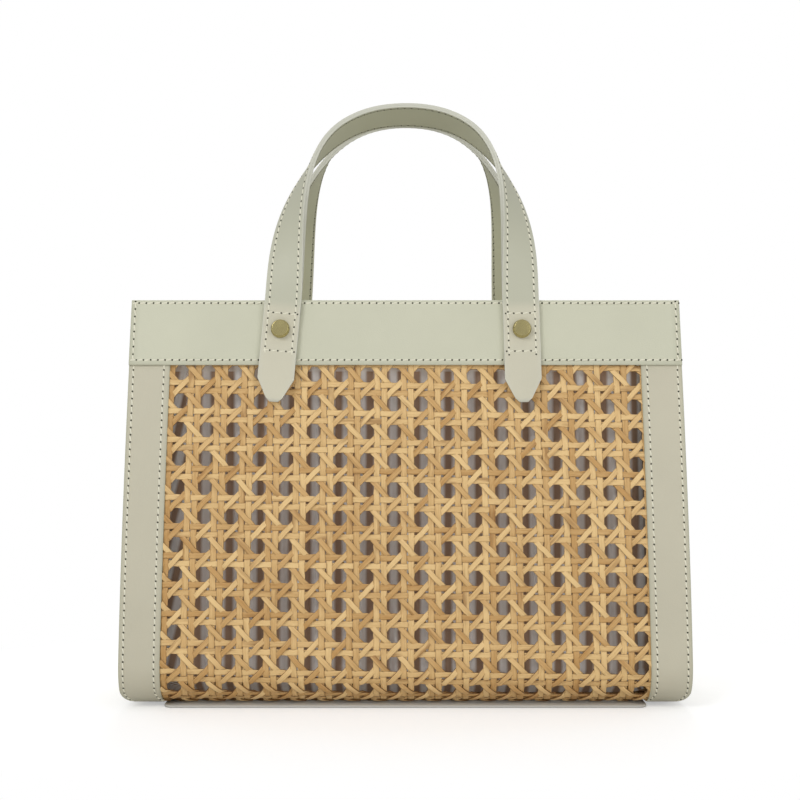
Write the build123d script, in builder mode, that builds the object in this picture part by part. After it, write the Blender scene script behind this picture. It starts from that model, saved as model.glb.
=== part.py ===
"""A tote bag of cane mesh and leather, in millimetres.

X is to the right, -Y is the front and +Z is up. The origin is on the floor, in the middle of the bag.
Front and back are the same pieces, mirrored, and so are left and right.
The front wall is a stack of thin layers. A layer is drawn from the side, by how far its two faces lie
outside the outer face of the cane, and is then cut to its outline as seen from the front.
"""

import os
from math import atan, cos, pi, radians, sin, tan

from build123d import *

os.makedirs("parts", exist_ok=True)

# Body
body_depth = 120.0
body_height = 224.7
foot_half_width = 156.4
top_half_width = 150.9
side_corner_radius = 9.0
bend_radius = 25.0
band_bottom = 188.2
lean = 8.0

# Leather and cane
cane_thickness = 1.2
ridge_height = 0.9
strip_thickness = 1.2
strip_width = 22.6
band_thickness = 1.5
band_inner_height = 30.0
band_fold_radius = 1.2
gusset_thickness = 1.6
gusset_inset = 6.5
gusset_below_band = 2.6
base_thickness = 1.6
base_half_width = 130.4
base_front_inset = 12.0
base_corner_radius = 10.0
base_edge_radius = 0.8
seam_gap = 0.6

# Cane mesh
gap_columns = 11
gap_rows = 8
column_pitch = 23.2
row_pitch = 22.0
gap_radius = 6.3
first_row_height = 19.0
field_foot = 4.3
strand_width = 4.0
strand_spacing = 5.6

# Handles
strap_width = 20.0
strap_thickness = 1.6
lining_thickness = 1.2
handle_shift = -2.1
fold_height = 217.6
fold_half_spacing = 65.7
fold_gap = 0.4
strap_slant = 2.9
strap_lean = 1.8
arch_height = 333.2
arch_shift = 2.6
arch_side_reach = 62.7
arch_side_height = 250.5
arch_top_reach = 71.2
arch_curl = 0.00161
arch_twist = 86.5
twist_start = 0.022
twist_end = 0.785
handle_stations = 44

# Sewn ends of the handles
lining_end_length = 23.5
tab_shoulder = 37.0
tab_length = 49.7
tab_tip_width = 7.0
tab_corner_radius = 1.5

# Screw studs
stud_drop = 9.4
stud_base_diameter = 10.2
stud_top_diameter = 8.0
stud_height = 4.0
stud_rim_height = 1.5
post_diameter = 3.5
post_clearance = 0.2
cap_diameter = 9.0
cap_thickness = 2.2

# Inner pouch
pouch_thickness = 1.0
pouch_clearance = 0.3
pouch_half_width = 137.0
pouch_foot_half_depth = 32.0
pouch_knee_half_depth = 48.0
pouch_top_half_depth = 39.0
pouch_knee_height = 22.0
pouch_top = 180.0
pouch_pleats = 22
pouch_pleat_depth = 2.4

# Worked out from the sizes above
cane_face_y = -(body_depth / 2 - strip_thickness)
cane_bend_radius = bend_radius - strip_thickness
bend_y = cane_face_y + cane_bend_radius
bend_z = base_thickness + bend_radius
band_face = strip_thickness + band_thickness
lean_sin = sin(radians(lean))
lean_cos = cos(radians(lean))
belly_radius = (band_bottom - bend_z) / lean_sin
belly_y = cane_face_y + belly_radius
panel_top = body_height - band_face * lean_sin
lean_length = (panel_top - band_bottom) / lean_cos
strap_stack = strap_thickness + lining_thickness
cane_floor = base_thickness + strip_thickness + cane_thickness


def half_width(z):
    """Half of the bag's width at height z."""
    return foot_half_width + (top_half_width - foot_half_width) * z / body_height


def lean_point(offset, along):
    """Point (y, z) on the leaning top of the wall, at a distance up from the band's lower edge."""
    reach = belly_radius + offset
    return (
        belly_y - reach * lean_cos + along * lean_sin,
        bend_z + reach * lean_sin + along * lean_cos,
    )


def wall_line(offset, along):
    """Draws the front wall's side line, from the middle of the floor up to a place on the lean."""
    floor_z = bend_z - cane_bend_radius - offset
    Line((-seam_gap / 2, floor_z), (bend_y, floor_z))
    CenterArc((bend_y, bend_z), cane_bend_radius + offset, 270, -90)
    CenterArc((belly_y, bend_z), belly_radius + offset, 180, -lean)
    Line(lean_point(offset, 0), lean_point(offset, along))


def wall_layer(inner, outer, along):
    """Section of one layer of the front wall, with its faces at two offsets from the cane's face."""
    with BuildSketch(Plane.YZ) as section:
        with BuildLine():
            wall_line(inner, along)
            wall_line(outer, along)
            Line(
                (-seam_gap / 2, bend_z - cane_bend_radius - inner),
                (-seam_gap / 2, bend_z - cane_bend_radius - outer),
            )
            Line(lean_point(inner, along), lean_point(outer, along))
        make_face()
    return section


def inside_section(offset, top):
    """Section of all that lies inside the walls at an offset, up to a level top."""
    floor_z = bend_z - cane_bend_radius - offset
    lean_foot = lean_point(offset, 0)
    along = (top - lean_foot[1]) / lean_cos
    with BuildSketch(Plane.YZ) as section:
        with BuildLine():
            Line((0, floor_z), (bend_y, floor_z))
            CenterArc((bend_y, bend_z), cane_bend_radius + offset, 270, -90)
            CenterArc((belly_y, bend_z), belly_radius + offset, 180, -lean)
            Polyline(lean_foot, lean_point(offset, along), (0, top))
            mirror(about=Plane.YZ)
        make_face()
    return section


def front_outline():
    """Outline of the bag's walls seen from the front, rounded at its two lower corners."""
    above = body_height + bend_radius
    with BuildSketch(Plane.XZ) as outline:
        Polygon(
            (-half_width(base_thickness), base_thickness),
            (half_width(base_thickness), base_thickness),
            (half_width(above), above),
            (-half_width(above), above),
            align=None,
        )
        fillet(outline.vertices().sort_by(Axis.Y)[:2], side_corner_radius)
    return outline


def side_outline(side, inner_inset, outer_inset):
    """Outline of an upright stripe at one side, between two distances in from the bag's edge."""
    above = body_height + bend_radius
    with BuildSketch(Plane.XZ) as outline:
        Polygon(
            (side * (half_width(0) - inner_inset), 0),
            (side * (half_width(0) - outer_inset), 0),
            (side * (half_width(above) - outer_inset), above),
            (side * (half_width(above) - inner_inset), above),
            align=None,
        )
    return outline


def mirrored(piece, about):
    """The mirror image of a finished piece."""
    with BuildPart() as image:
        mirror(piece.part, about=about)
    return image


def write(piece, name):
    """Labels a finished piece and writes it."""
    piece.part.label = name
    export_step(piece.part, f"parts/{name}.step")


# Where the studs and the sewn ends of the handles sit
strap_face = band_face + strap_stack
fold_along = (fold_height - lean_point(strap_face, 0)[1]) / lean_cos


def strap_angle(side):
    """How far one sewn end leans towards the middle: the two close in, and the pair leans to the right."""
    return radians(strap_slant - side * strap_lean)


def strap_plane(side, offset):
    """Plane at the fold of one sewn end, Y up along the strap, its face at an offset from the cane."""
    y, z = lean_point(offset, fold_along)
    across = cos(strap_angle(side))
    upward = side * sin(strap_angle(side))
    return Plane(
        origin=(handle_shift + side * fold_half_spacing, y, z),
        x_dir=(across, upward * lean_sin, upward * lean_cos),
        z_dir=(0, -lean_cos, lean_sin),
    )


post_length = strap_face + cane_thickness + band_thickness + cap_thickness


def post_bores():
    """The two posts' bores, to be cut out of the front pieces that the posts go through."""
    with BuildPart() as bores:
        for side in (-1, 1):
            with BuildSketch(strap_plane(side, strap_face + stud_height)):
                with Locations((0, -stud_drop)):
                    Circle(post_diameter / 2 + post_clearance)
            extrude(amount=-(post_length + 2 * stud_height))
    return bores


front_bores = post_bores()

# Cane panels: a wall with a raised field of strands, grooved between the strands and pierced
field_half_width = half_width(body_height) - strip_width - seam_gap
gap_middle_height = first_row_height + (gap_rows - 1) / 2 * row_pitch
groove_width = strand_spacing - strand_width
groove_columns = [(column - gap_columns / 2) * column_pitch for column in range(1, gap_columns)]
groove_rows = [first_row_height + (row + 0.5) * row_pitch for row in range(gap_rows - 1)]

field_section = wall_layer(-cane_thickness / 2, ridge_height, lean_length - 2 * band_thickness)
with field_section:
    with Locations((0, field_foot + body_height / 2)):
        Rectangle(2 * body_depth, body_height, mode=Mode.INTERSECT)
groove_section = wall_layer(0, 2 * ridge_height, lean_length)
with BuildPart() as front_cane:
    with BuildSketch(Plane.YZ):
        add(wall_layer(-cane_thickness, 0, lean_length - 1.5 * band_thickness).sketch_local)
    extrude(amount=foot_half_width, both=True)
    with BuildSketch(Plane.XZ):
        add(front_outline().sketch_local)
    extrude(amount=body_depth, both=True, mode=Mode.INTERSECT)
    with BuildSketch(Plane.YZ):
        add(field_section.sketch_local)
    extrude(amount=field_half_width, both=True)
    for x in groove_columns:
        with BuildSketch(Plane.YZ.offset(x)):
            add(groove_section.sketch_local)
    extrude(amount=groove_width / 2, both=True, mode=Mode.SUBTRACT)
    for z in groove_rows:
        with BuildSketch(Plane.YZ):
            add(groove_section.sketch_local)
            with Locations((-body_depth / 2, z)):
                Rectangle(body_depth, groove_width, mode=Mode.INTERSECT)
    extrude(amount=field_half_width, both=True, mode=Mode.SUBTRACT)
    with BuildSketch(Plane.XZ.offset(body_depth / 2 + ridge_height)):
        with Locations((0, gap_middle_height)):
            with GridLocations(column_pitch, row_pitch, gap_columns, gap_rows):
                RegularPolygon(gap_radius, 8, major_radius=False, rotation=22.5)
    extrude(amount=-(bend_radius + cane_thickness), mode=Mode.SUBTRACT)
    add(front_bores.part, mode=Mode.SUBTRACT)
write(front_cane, "front_cane_panel")
back_cane = mirrored(front_cane, Plane.XZ)
write(back_cane, "back_cane_panel")

# Top bands: a strip folded over the top edge, its inner leg short of the gussets
band_inner_half = half_width(body_height) - gusset_inset - gusset_thickness - seam_gap
with BuildPart() as front_band:
    with BuildSketch(Plane.YZ) as fold:
        with BuildLine():
            Polyline(
                lean_point(strip_thickness, 0),
                lean_point(band_face, 0),
                lean_point(band_face, lean_length),
                lean_point(-cane_thickness - band_thickness, lean_length),
                lean_point(-cane_thickness - band_thickness, lean_length - band_thickness),
                lean_point(strip_thickness, lean_length - band_thickness),
                close=True,
            )
        make_face()
        fillet(fold.vertices().sort_by(Axis.Y)[-2:], band_fold_radius)
    extrude(amount=foot_half_width, both=True)
    with BuildSketch(Plane.XZ):
        add(front_outline().sketch_local)
    extrude(amount=body_depth, both=True, mode=Mode.INTERSECT)
    with BuildSketch(Plane.YZ):
        with BuildLine():
            Polyline(
                lean_point(-cane_thickness, lean_length - band_thickness),
                lean_point(-cane_thickness - band_thickness, lean_length - band_thickness),
                lean_point(-cane_thickness - band_thickness, lean_length - band_inner_height),
                lean_point(-cane_thickness, lean_length - band_inner_height),
                close=True,
            )
        make_face()
    extrude(amount=band_inner_half, both=True)
    add(front_bores.part, mode=Mode.SUBTRACT)
write(front_band, "front_top_band")
back_band = mirrored(front_band, Plane.XZ)
write(back_band, "back_top_band")

# Edge strips: they run from the middle of the floor up to the fold of the band
for side, side_name in ((-1, "left"), (1, "right")):
    with BuildPart() as strip:
        with BuildSketch(Plane.YZ):
            add(wall_layer(0, strip_thickness, lean_length - 1.5 * band_thickness).sketch_local)
        extrude(amount=foot_half_width, both=True)
        with BuildSketch(Plane.XZ):
            add(front_outline().sketch_local)
        extrude(amount=body_depth, both=True, mode=Mode.INTERSECT)
        with BuildSketch(Plane.XZ):
            add(side_outline(side, strip_width, 0).sketch_local)
        extrude(amount=body_depth, both=True, mode=Mode.INTERSECT)
    write(strip, f"front_{side_name}_edge_strip")
    back_strip = mirrored(strip, Plane.XZ)
    write(back_strip, f"back_{side_name}_edge_strip")

# Gussets: a side wall with flanges turned outwards behind the edge strips
gusset_top = body_height - gusset_below_band
flange_face = -cane_thickness
for side, side_name in ((-1, "left"), (1, "right")):
    with BuildPart() as hollow:
        with BuildSketch(Plane.YZ):
            add(inside_section(flange_face - gusset_thickness, body_height).sketch_local)
        extrude(amount=foot_half_width, both=True)
        with BuildSketch(Plane.XZ):
            add(side_outline(side, gusset_inset, -gusset_inset).sketch_local)
        extrude(amount=body_depth, both=True, mode=Mode.INTERSECT)
    with BuildPart() as gusset:
        with BuildSketch(Plane.YZ):
            add(inside_section(flange_face, gusset_top).sketch_local)
        extrude(amount=foot_half_width, both=True)
        with BuildSketch(Plane.XZ):
            add(front_outline().sketch_local)
        extrude(amount=body_depth, both=True, mode=Mode.INTERSECT)
        with BuildSketch(Plane.XZ):
            add(side_outline(side, gusset_inset + gusset_thickness, 0).sketch_local)
        extrude(amount=body_depth, both=True, mode=Mode.INTERSECT)
        add(hollow.part, mode=Mode.SUBTRACT)
    write(gusset, f"{side_name}_gusset")

# Base panel: it lies between the edge strips, and its raised middle meets the cane above it
with BuildPart() as base:
    with BuildSketch(Plane.XY):
        RectangleRounded(2 * base_half_width, body_depth - 2 * base_front_inset, base_corner_radius)
    extrude(amount=base_thickness)
    fillet(base.edges().group_by(Axis.Z)[0], base_edge_radius)
    with BuildSketch(Plane.XY.offset(base_thickness)):
        Rectangle(2 * (base_half_width - base_corner_radius), -2 * bend_y)
    extrude(amount=strip_thickness)
write(base, "base_panel")


# Inner pouch: an open bag with upright pleats in its front and back
def pouch_ring(half_x, half_y, pleat_depth):
    """Corner points of the pouch's outline, pleated along its front and back."""
    half_pleats = 2 * pouch_pleats
    span = 2 * (half_x - pleat_depth)
    front = []
    for step in range(half_pleats + 1):
        x = -span / 2 + span * step / half_pleats
        front.append((x, -half_y + pleat_depth * (step % 2)))
    return front + [(-x, -y) for x, y in front]


def pouch_form(inset, foot):
    """The pouch's outer or inner form, lofted through its foot, its knee and its top."""
    levels = (
        (foot, pouch_foot_half_depth),
        (pouch_knee_height, pouch_knee_half_depth),
        (pouch_top, pouch_top_half_depth),
    )
    with BuildPart() as form:
        for height, half_depth in levels:
            ring = pouch_ring(pouch_half_width - inset, half_depth - inset, pouch_pleat_depth)
            with BuildSketch(Plane.XY.offset(height)):
                Polygon(*ring, align=None)
        loft(ruled=True)
    return form


pouch_hollow = pouch_form(pouch_thickness, cane_floor + pouch_clearance + pouch_thickness)
pouch = pouch_form(0, cane_floor + pouch_clearance)
with pouch:
    add(pouch_hollow.part, mode=Mode.SUBTRACT)
write(pouch, "inner_pouch")


# Handles: the strap's middle line is a curve seen from the front, and leans in more towards the top
def handle_point(t):
    """Point and direction of the handle's middle line, t from -1 at its left foot to 1 at its right."""
    side = -1 if t < 0 else 1
    u = 1 - abs(t)
    foot_z = fold_height + fold_gap
    reach = (fold_half_spacing, arch_side_reach, arch_top_reach, 0)
    height = (foot_z, arch_side_height, arch_height, arch_height)
    share = ((1 - u) ** 3, 3 * u * (1 - u) ** 2, 3 * u * u * (1 - u), u**3)
    slope = (-3 * (1 - u) ** 2, 3 * (1 - u) * (1 - 3 * u), 3 * u * (2 - 3 * u), 3 * u * u)
    x = side * sum(a * b for a, b in zip(share, reach))
    z = sum(a * b for a, b in zip(share, height))
    rise = z - foot_z
    y = lean_point(band_face + strap_stack / 2, fold_along)[0] - fold_gap / lean_cos
    y += tan(radians(lean)) * (rise + fold_gap) + arch_curl * rise * rise
    x_slope = -sum(a * b for a, b in zip(slope, reach))
    z_slope = -side * sum(a * b for a, b in zip(slope, height))
    lean_slope = tan(radians(lean)) + 2 * arch_curl * rise
    x_slope += arch_shift * z_slope / (arch_height - foot_z)
    x += handle_shift + arch_shift * rise / (arch_height - foot_z)
    return Vector(x, y, z), Vector(x_slope, lean_slope * z_slope, z_slope), lean_slope


def handle_plane(t):
    """Plane across the handle, its X across the strap and its Y in through the strap's thickness.

    The strap twists between two shares of the way from its foot to the middle of the arch, and its two
    feet end level, along the line that it folds on.
    """
    place, direction, lean_slope = handle_point(t)
    if abs(t) == 1:
        direction = Vector(0, direction.Y, direction.Z)
    tilt = atan(lean_slope)
    along = direction.normalized()
    faces_front = Vector(0, -cos(tilt), sin(tilt))
    faces_out = faces_front.cross(along)
    share = min(max((1 - abs(t) - twist_start) / (twist_end - twist_start), 0), 1)
    twist = radians(arch_twist) * share * share * (3 - 2 * share)
    normal = faces_front * cos(twist) + faces_out * sin(twist)
    return Plane(origin=place, x_dir=along.cross(normal), z_dir=along)


def handle_ply(inner, outer):
    """Lofts one ply of the handle between two depths, counted from its middle towards its face."""
    with BuildPart() as ply:
        for station in range(handle_stations + 1):
            with BuildSketch(handle_plane(2 * station / handle_stations - 1)):
                with Locations((0, -(inner + outer) / 2)):
                    Rectangle(strap_width, outer - inner)
        loft(ruled=True)
    return ply


lining_face = lining_thickness - strap_stack / 2
handle_strap = handle_ply(lining_face, strap_stack / 2)
handle_lining = handle_ply(-strap_stack / 2, lining_face)
write(handle_strap, "front_handle_strap")
write(handle_lining, "front_handle_lining")
back_handle_strap = mirrored(handle_strap, Plane.XZ)
back_handle_lining = mirrored(handle_lining, Plane.XZ)
write(back_handle_strap, "back_handle_strap")
write(back_handle_lining, "back_handle_lining")

# Sewn ends of the handles, level at the fold, and their studs
for side, side_name in ((-1, "left"), (1, "right")):
    fold_rise = side * strap_width / 2 * tan(strap_angle(side))
    with BuildPart() as tab:
        with BuildSketch(strap_plane(side, band_face + lining_thickness)) as shape:
            Polygon(
                (-strap_width / 2, fold_rise),
                (strap_width / 2, -fold_rise),
                (strap_width / 2, -tab_shoulder),
                (tab_tip_width / 2, -tab_length),
                (-tab_tip_width / 2, -tab_length),
                (-strap_width / 2, -tab_shoulder),
                align=None,
            )
            fillet(shape.vertices().sort_by(Axis.Y)[:2], tab_corner_radius)
        extrude(amount=strap_thickness)
        add(front_bores.part, mode=Mode.SUBTRACT)
    with BuildPart() as lining_end:
        with BuildSketch(strap_plane(side, band_face)):
            Polygon(
                (-strap_width / 2, fold_rise),
                (strap_width / 2, -fold_rise),
                (strap_width / 2, -lining_end_length),
                (-strap_width / 2, -lining_end_length),
                align=None,
            )
        extrude(amount=lining_thickness)
        add(front_bores.part, mode=Mode.SUBTRACT)

    stud_plane = strap_plane(side, strap_face)
    with BuildPart() as stud:
        with BuildSketch(stud_plane):
            with Locations((0, -stud_drop)):
                Circle(stud_base_diameter / 2)
        extrude(amount=stud_rim_height)
        with BuildSketch(stud_plane.offset(stud_rim_height)):
            with Locations((0, -stud_drop)):
                Circle(stud_base_diameter / 2)
        with BuildSketch(stud_plane.offset(stud_height)):
            with Locations((0, -stud_drop)):
                Circle(stud_top_diameter / 2)
        loft()
        with BuildSketch(stud_plane):
            with Locations((0, -stud_drop)):
                Circle(post_diameter / 2)
        extrude(amount=-post_length)
    with BuildPart() as cap:
        with BuildSketch(strap_plane(side, -cane_thickness - band_thickness)):
            with Locations((0, -stud_drop)):
                Circle(cap_diameter / 2)
                Circle(post_diameter / 2 + post_clearance / 2, mode=Mode.SUBTRACT)
        extrude(amount=-cap_thickness)

    for piece, piece_name in (
        (tab, "strap_end"),
        (lining_end, "lining_end"),
        (stud, "stud"),
        (cap, "stud_cap"),
    ):
        write(piece, f"front_{side_name}_{piece_name}")
        back_piece = mirrored(piece, Plane.XZ)
        write(back_piece, f"back_{side_name}_{piece_name}")
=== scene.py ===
"""The finish of a cane and leather tote bag: woven cane, sage leather, stitching, studs and a cloth pouch.

Lengths are in metres. X is to the right, -Y is the front and +Z is up. A place on a wall is given by x,
by s, its distance up along the cane's face from the top of the bottom bend, and by h, how far it lies
outside that face.
"""

import logging
import math
from dataclasses import dataclass, field
from enum import Enum, StrEnum
from typing import Sequence

import bmesh
import bpy
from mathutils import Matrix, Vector


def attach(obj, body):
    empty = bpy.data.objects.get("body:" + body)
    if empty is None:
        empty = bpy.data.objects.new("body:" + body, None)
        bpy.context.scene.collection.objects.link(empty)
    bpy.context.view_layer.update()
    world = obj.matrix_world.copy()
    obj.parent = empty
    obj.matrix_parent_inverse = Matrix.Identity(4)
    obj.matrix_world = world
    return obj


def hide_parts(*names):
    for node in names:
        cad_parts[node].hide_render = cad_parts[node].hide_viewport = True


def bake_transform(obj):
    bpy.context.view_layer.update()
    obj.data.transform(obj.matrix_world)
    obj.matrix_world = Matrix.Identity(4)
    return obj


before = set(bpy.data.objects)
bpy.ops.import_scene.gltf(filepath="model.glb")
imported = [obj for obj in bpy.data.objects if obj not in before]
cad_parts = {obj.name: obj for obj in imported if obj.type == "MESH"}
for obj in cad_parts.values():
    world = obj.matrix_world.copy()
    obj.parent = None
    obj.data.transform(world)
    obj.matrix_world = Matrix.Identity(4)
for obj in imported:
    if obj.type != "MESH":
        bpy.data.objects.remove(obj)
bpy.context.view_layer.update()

MM = 0.001
TURN = 2 * math.pi
FLAT_WHITE = (1.0, 1.0, 1.0, 1.0)
LOG = logging.getLogger("tote")
Colour = tuple[float, float, float, float]


def srgb(red: int, green: int, blue: int) -> Colour:
    """A colour as it looks on a screen, turned into the linear values that shaders take.

    Args:
        red: its red, from 0 to 255.
        green: its green.
        blue: its blue.

    Returns:
        The linear colour.
    """
    shares = (level / 255 for level in (red, green, blue))
    linear = (share / 12.92 if share <= 0.04045 else ((share + 0.055) / 1.055) ** 2.4 for share in shares)
    return (*linear, 1.0)


def toned(colour: Colour, factor: float) -> Colour:
    """A colour made darker or lighter."""
    return (*(min(c * factor, 1) for c in colour[:3]), 1.0)


def ease(share: float) -> float:
    """A share from 0 to 1, smoothed at both ends."""
    share = min(max(share, 0.0), 1.0)
    return share * share * (3 - 2 * share)


class Wire:
    """The output of a node, which takes part in sums."""

    def __init__(self, graph: "Graph", socket: bpy.types.NodeSocket) -> None:
        """Keeps the socket and the graph that it belongs to."""
        self.graph = graph
        self.socket = socket

    def __add__(self, other: "Wire | float") -> "Wire":
        """Adds."""
        return self.graph.maths("ADD", self, other)

    def __radd__(self, other: float) -> "Wire":
        """Adds to a number."""
        return self.graph.maths("ADD", other, self)

    def __sub__(self, other: "Wire | float") -> "Wire":
        """Subtracts."""
        return self.graph.maths("SUBTRACT", self, other)

    def __rsub__(self, other: float) -> "Wire":
        """Subtracts from a number."""
        return self.graph.maths("SUBTRACT", other, self)

    def __mul__(self, other: "Wire | float") -> "Wire":
        """Multiplies."""
        return self.graph.maths("MULTIPLY", self, other)

    def __rmul__(self, other: float) -> "Wire":
        """Multiplies a number."""
        return self.graph.maths("MULTIPLY", other, self)

    def __truediv__(self, other: "Wire | float") -> "Wire":
        """Divides."""
        return self.graph.maths("DIVIDE", self, other)


class Graph:
    """A node tree, of a material or of geometry, that is written as expressions."""

    def __init__(self, tree: bpy.types.NodeTree) -> None:
        """Keeps the tree and empties it."""
        self.tree = tree
        tree.nodes.clear()

    def node(self, kind: str, settings: dict | None = None, inputs: dict | None = None) -> bpy.types.Node:
        """Adds a node.

        Args:
            kind: the node's type.
            settings: its own settings, which are set first.
            inputs: its sockets by name or number, as values or wires.

        Returns:
            The node.
        """
        node = self.tree.nodes.new(kind)
        for name, value in (settings or {}).items():
            setattr(node, name, value)
        for name, value in (inputs or {}).items():
            self.feed(node.inputs[name], value)
        return node

    def feed(self, socket: bpy.types.NodeSocket, value: object) -> None:
        """Links a wire to a socket, or sets its value."""
        if isinstance(value, Wire):
            self.tree.links.new(value.socket, socket)
        else:
            socket.default_value = value

    def wire(self, kind: str, settings: dict | None = None, inputs: dict | None = None,
             output: int | str = 0) -> Wire:
        """Adds a node and gives one of its outputs.

        Args:
            kind: the node's type.
            settings: its own settings.
            inputs: its sockets by name or number.
            output: the output's name or number.

        Returns:
            The output.
        """
        return Wire(self, self.node(kind, settings, inputs).outputs[output])

    def maths(self, operation: str, *values: "Wire | float") -> Wire:
        """Adds a Math node on one to three values."""
        return self.wire("ShaderNodeMath", {"operation": operation}, dict(enumerate(values)))

    def clamp(self, value: Wire, low: float, high: float) -> Wire:
        """Keeps a value between two limits."""
        return self.maths("MINIMUM", self.maths("MAXIMUM", value, low), high)

    def blend(self, share: "Wire | float", first: "Wire | Colour", second: "Wire | Colour") -> Wire:
        """Mixes two colours.

        Args:
            share: how much of the second colour there is.
            first: the colour at 0.
            second: the colour at 1.

        Returns:
            The mixed colour.
        """
        mix = self.node("ShaderNodeMix", {"data_type": "RGBA"})
        for name, value in (("Factor_Float", share), ("A_Color", first), ("B_Color", second)):
            self.feed(next(s for s in mix.inputs if s.identifier == name), value)
        return Wire(self, next(s for s in mix.outputs if s.identifier == "Result_Color"))

    def attribute(self, name: str) -> Wire:
        """Reads a named attribute of the surface."""
        return self.wire("ShaderNodeAttribute", {"attribute_name": name}, output="Fac")

    def place(self, upright: float = 1.0) -> Wire:
        """Object coordinates, scaled along the upright axis."""
        coordinates = self.wire("ShaderNodeTexCoord", output="Object")
        return self.wire("ShaderNodeMapping", inputs={"Vector": coordinates, "Scale": (1, 1, upright)})

    def combine(self, x: "Wire | float" = 0.0, y: "Wire | float" = 0.0, z: "Wire | float" = 0.0) -> Wire:
        """A vector of three values."""
        return self.wire("ShaderNodeCombineXYZ", inputs={0: x, 1: y, 2: z})

    def split(self, vector: Wire) -> list[Wire]:
        """The three values of a vector."""
        node = self.node("ShaderNodeSeparateXYZ", inputs={0: vector})
        return [Wire(self, socket) for socket in node.outputs]

    def chance(self, low: float, high: float, seed: Wire) -> Wire:
        """A random value for each element, between two limits."""
        values = {2: low, 3: high, "Seed": seed}
        return self.wire("FunctionNodeRandomValue", {"data_type": "FLOAT"}, values, output=1)

    def finished(self, geometry: Wire, material: Wire) -> Wire:
        """Geometry with its instances made real and its material set."""
        real = self.wire("GeometryNodeRealizeInstances", inputs={"Geometry": geometry})
        return self.wire("GeometryNodeSetMaterial", inputs={"Geometry": real, "Material": material})

    def noise(self, vector: Wire, scale: float, detail: float = 2.0, roughness: float = 0.5) -> Wire:
        """A noise value from 0 to 1 at a place."""
        return self.wire(
            "ShaderNodeTexNoise",
            inputs={"Vector": vector, "Scale": scale, "Detail": detail, "Roughness": roughness},
        )


class Finish:
    """A material that is made once, the first time it is asked for."""

    name: str
    made: dict[str, bpy.types.Material] = {}

    def material(self) -> bpy.types.Material:
        """The finish as a Blender material.

        Returns:
            The material, the same one each time.
        """
        if self.name not in Finish.made:
            material = bpy.data.materials.new(self.name)
            material.use_nodes = True
            graph = Graph(material.node_tree)
            shader = graph.node("ShaderNodeBsdfPrincipled")
            self.dress(graph, shader)
            output = graph.node("ShaderNodeOutputMaterial")
            graph.tree.links.new(shader.outputs[0], output.inputs["Surface"])
            Finish.made[self.name] = material
        return Finish.made[self.name]

    def dress(self, graph: Graph, shader: bpy.types.Node) -> None:
        """Feeds the shader. Each finish has its own.

        Args:
            graph: the material's graph.
            shader: its Principled node.
        """
        raise NotImplementedError

    @staticmethod
    def bump(graph: Graph, shader: bpy.types.Node, height: Wire, distance: float, strength: float) -> None:
        """Feeds a height into the shader's normal.

        Args:
            graph: the material's graph.
            shader: its Principled node.
            height: the height, from 0 to 1.
            distance: how far 1 stands up.
            strength: how much of it shows.
        """
        normal = graph.wire(
            "ShaderNodeBump", inputs={"Height": height, "Distance": distance, "Strength": strength}
        )
        graph.feed(shader.inputs["Normal"], normal)


@dataclass(frozen=True)
class Leather(Finish):
    """Smooth dyed leather with a fine grain.

    The attribute rim is 1 along its painted edges, and a second attribute is 1 on a handle above its fold,
    where the leather is coloured darker.
    """

    name: str
    colour: Colour
    rim: Colour
    roughness: float = 0.5
    grain: float = 0.35
    held: Colour | None = None
    cloud_scale: float = 22
    pore_scale: float = 1400
    crease_scale: float = 950

    def dress(self, graph: Graph, shader: bpy.types.Node) -> None:
        """Uneven dye, painted edges, and a grain of pores and fine creases.

        Args:
            graph: the material's graph.
            shader: its Principled node.
        """
        place = graph.place()
        clouds = graph.noise(place, self.cloud_scale, 3)
        dyed = graph.blend(clouds, toned(self.colour, 0.93), toned(self.colour, 1.05))
        # a darker colour on a handle above its fold
        if self.held:
            dyed = graph.blend(graph.attribute("held"), dyed, self.held)
        worn = graph.blend(graph.attribute("rim"), dyed, self.rim)
        graph.feed(shader.inputs["Base Color"], worn)
        pores = graph.noise(place, self.pore_scale, 2)
        creases = graph.wire(
            "ShaderNodeTexVoronoi",
            {"feature": "DISTANCE_TO_EDGE"},
            {"Vector": place, "Scale": self.crease_scale, "Randomness": 1.0},
        )
        grain = pores * 0.4 + graph.clamp(creases * 5, 0, 1) * 0.6
        graph.feed(shader.inputs["Roughness"], self.roughness - 0.06 + grain * 0.12)
        shader.inputs["Specular IOR Level"].default_value = 0.4
        self.bump(graph, shader, grain + clouds * 0.5, 0.08 * MM, self.grain)


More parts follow.
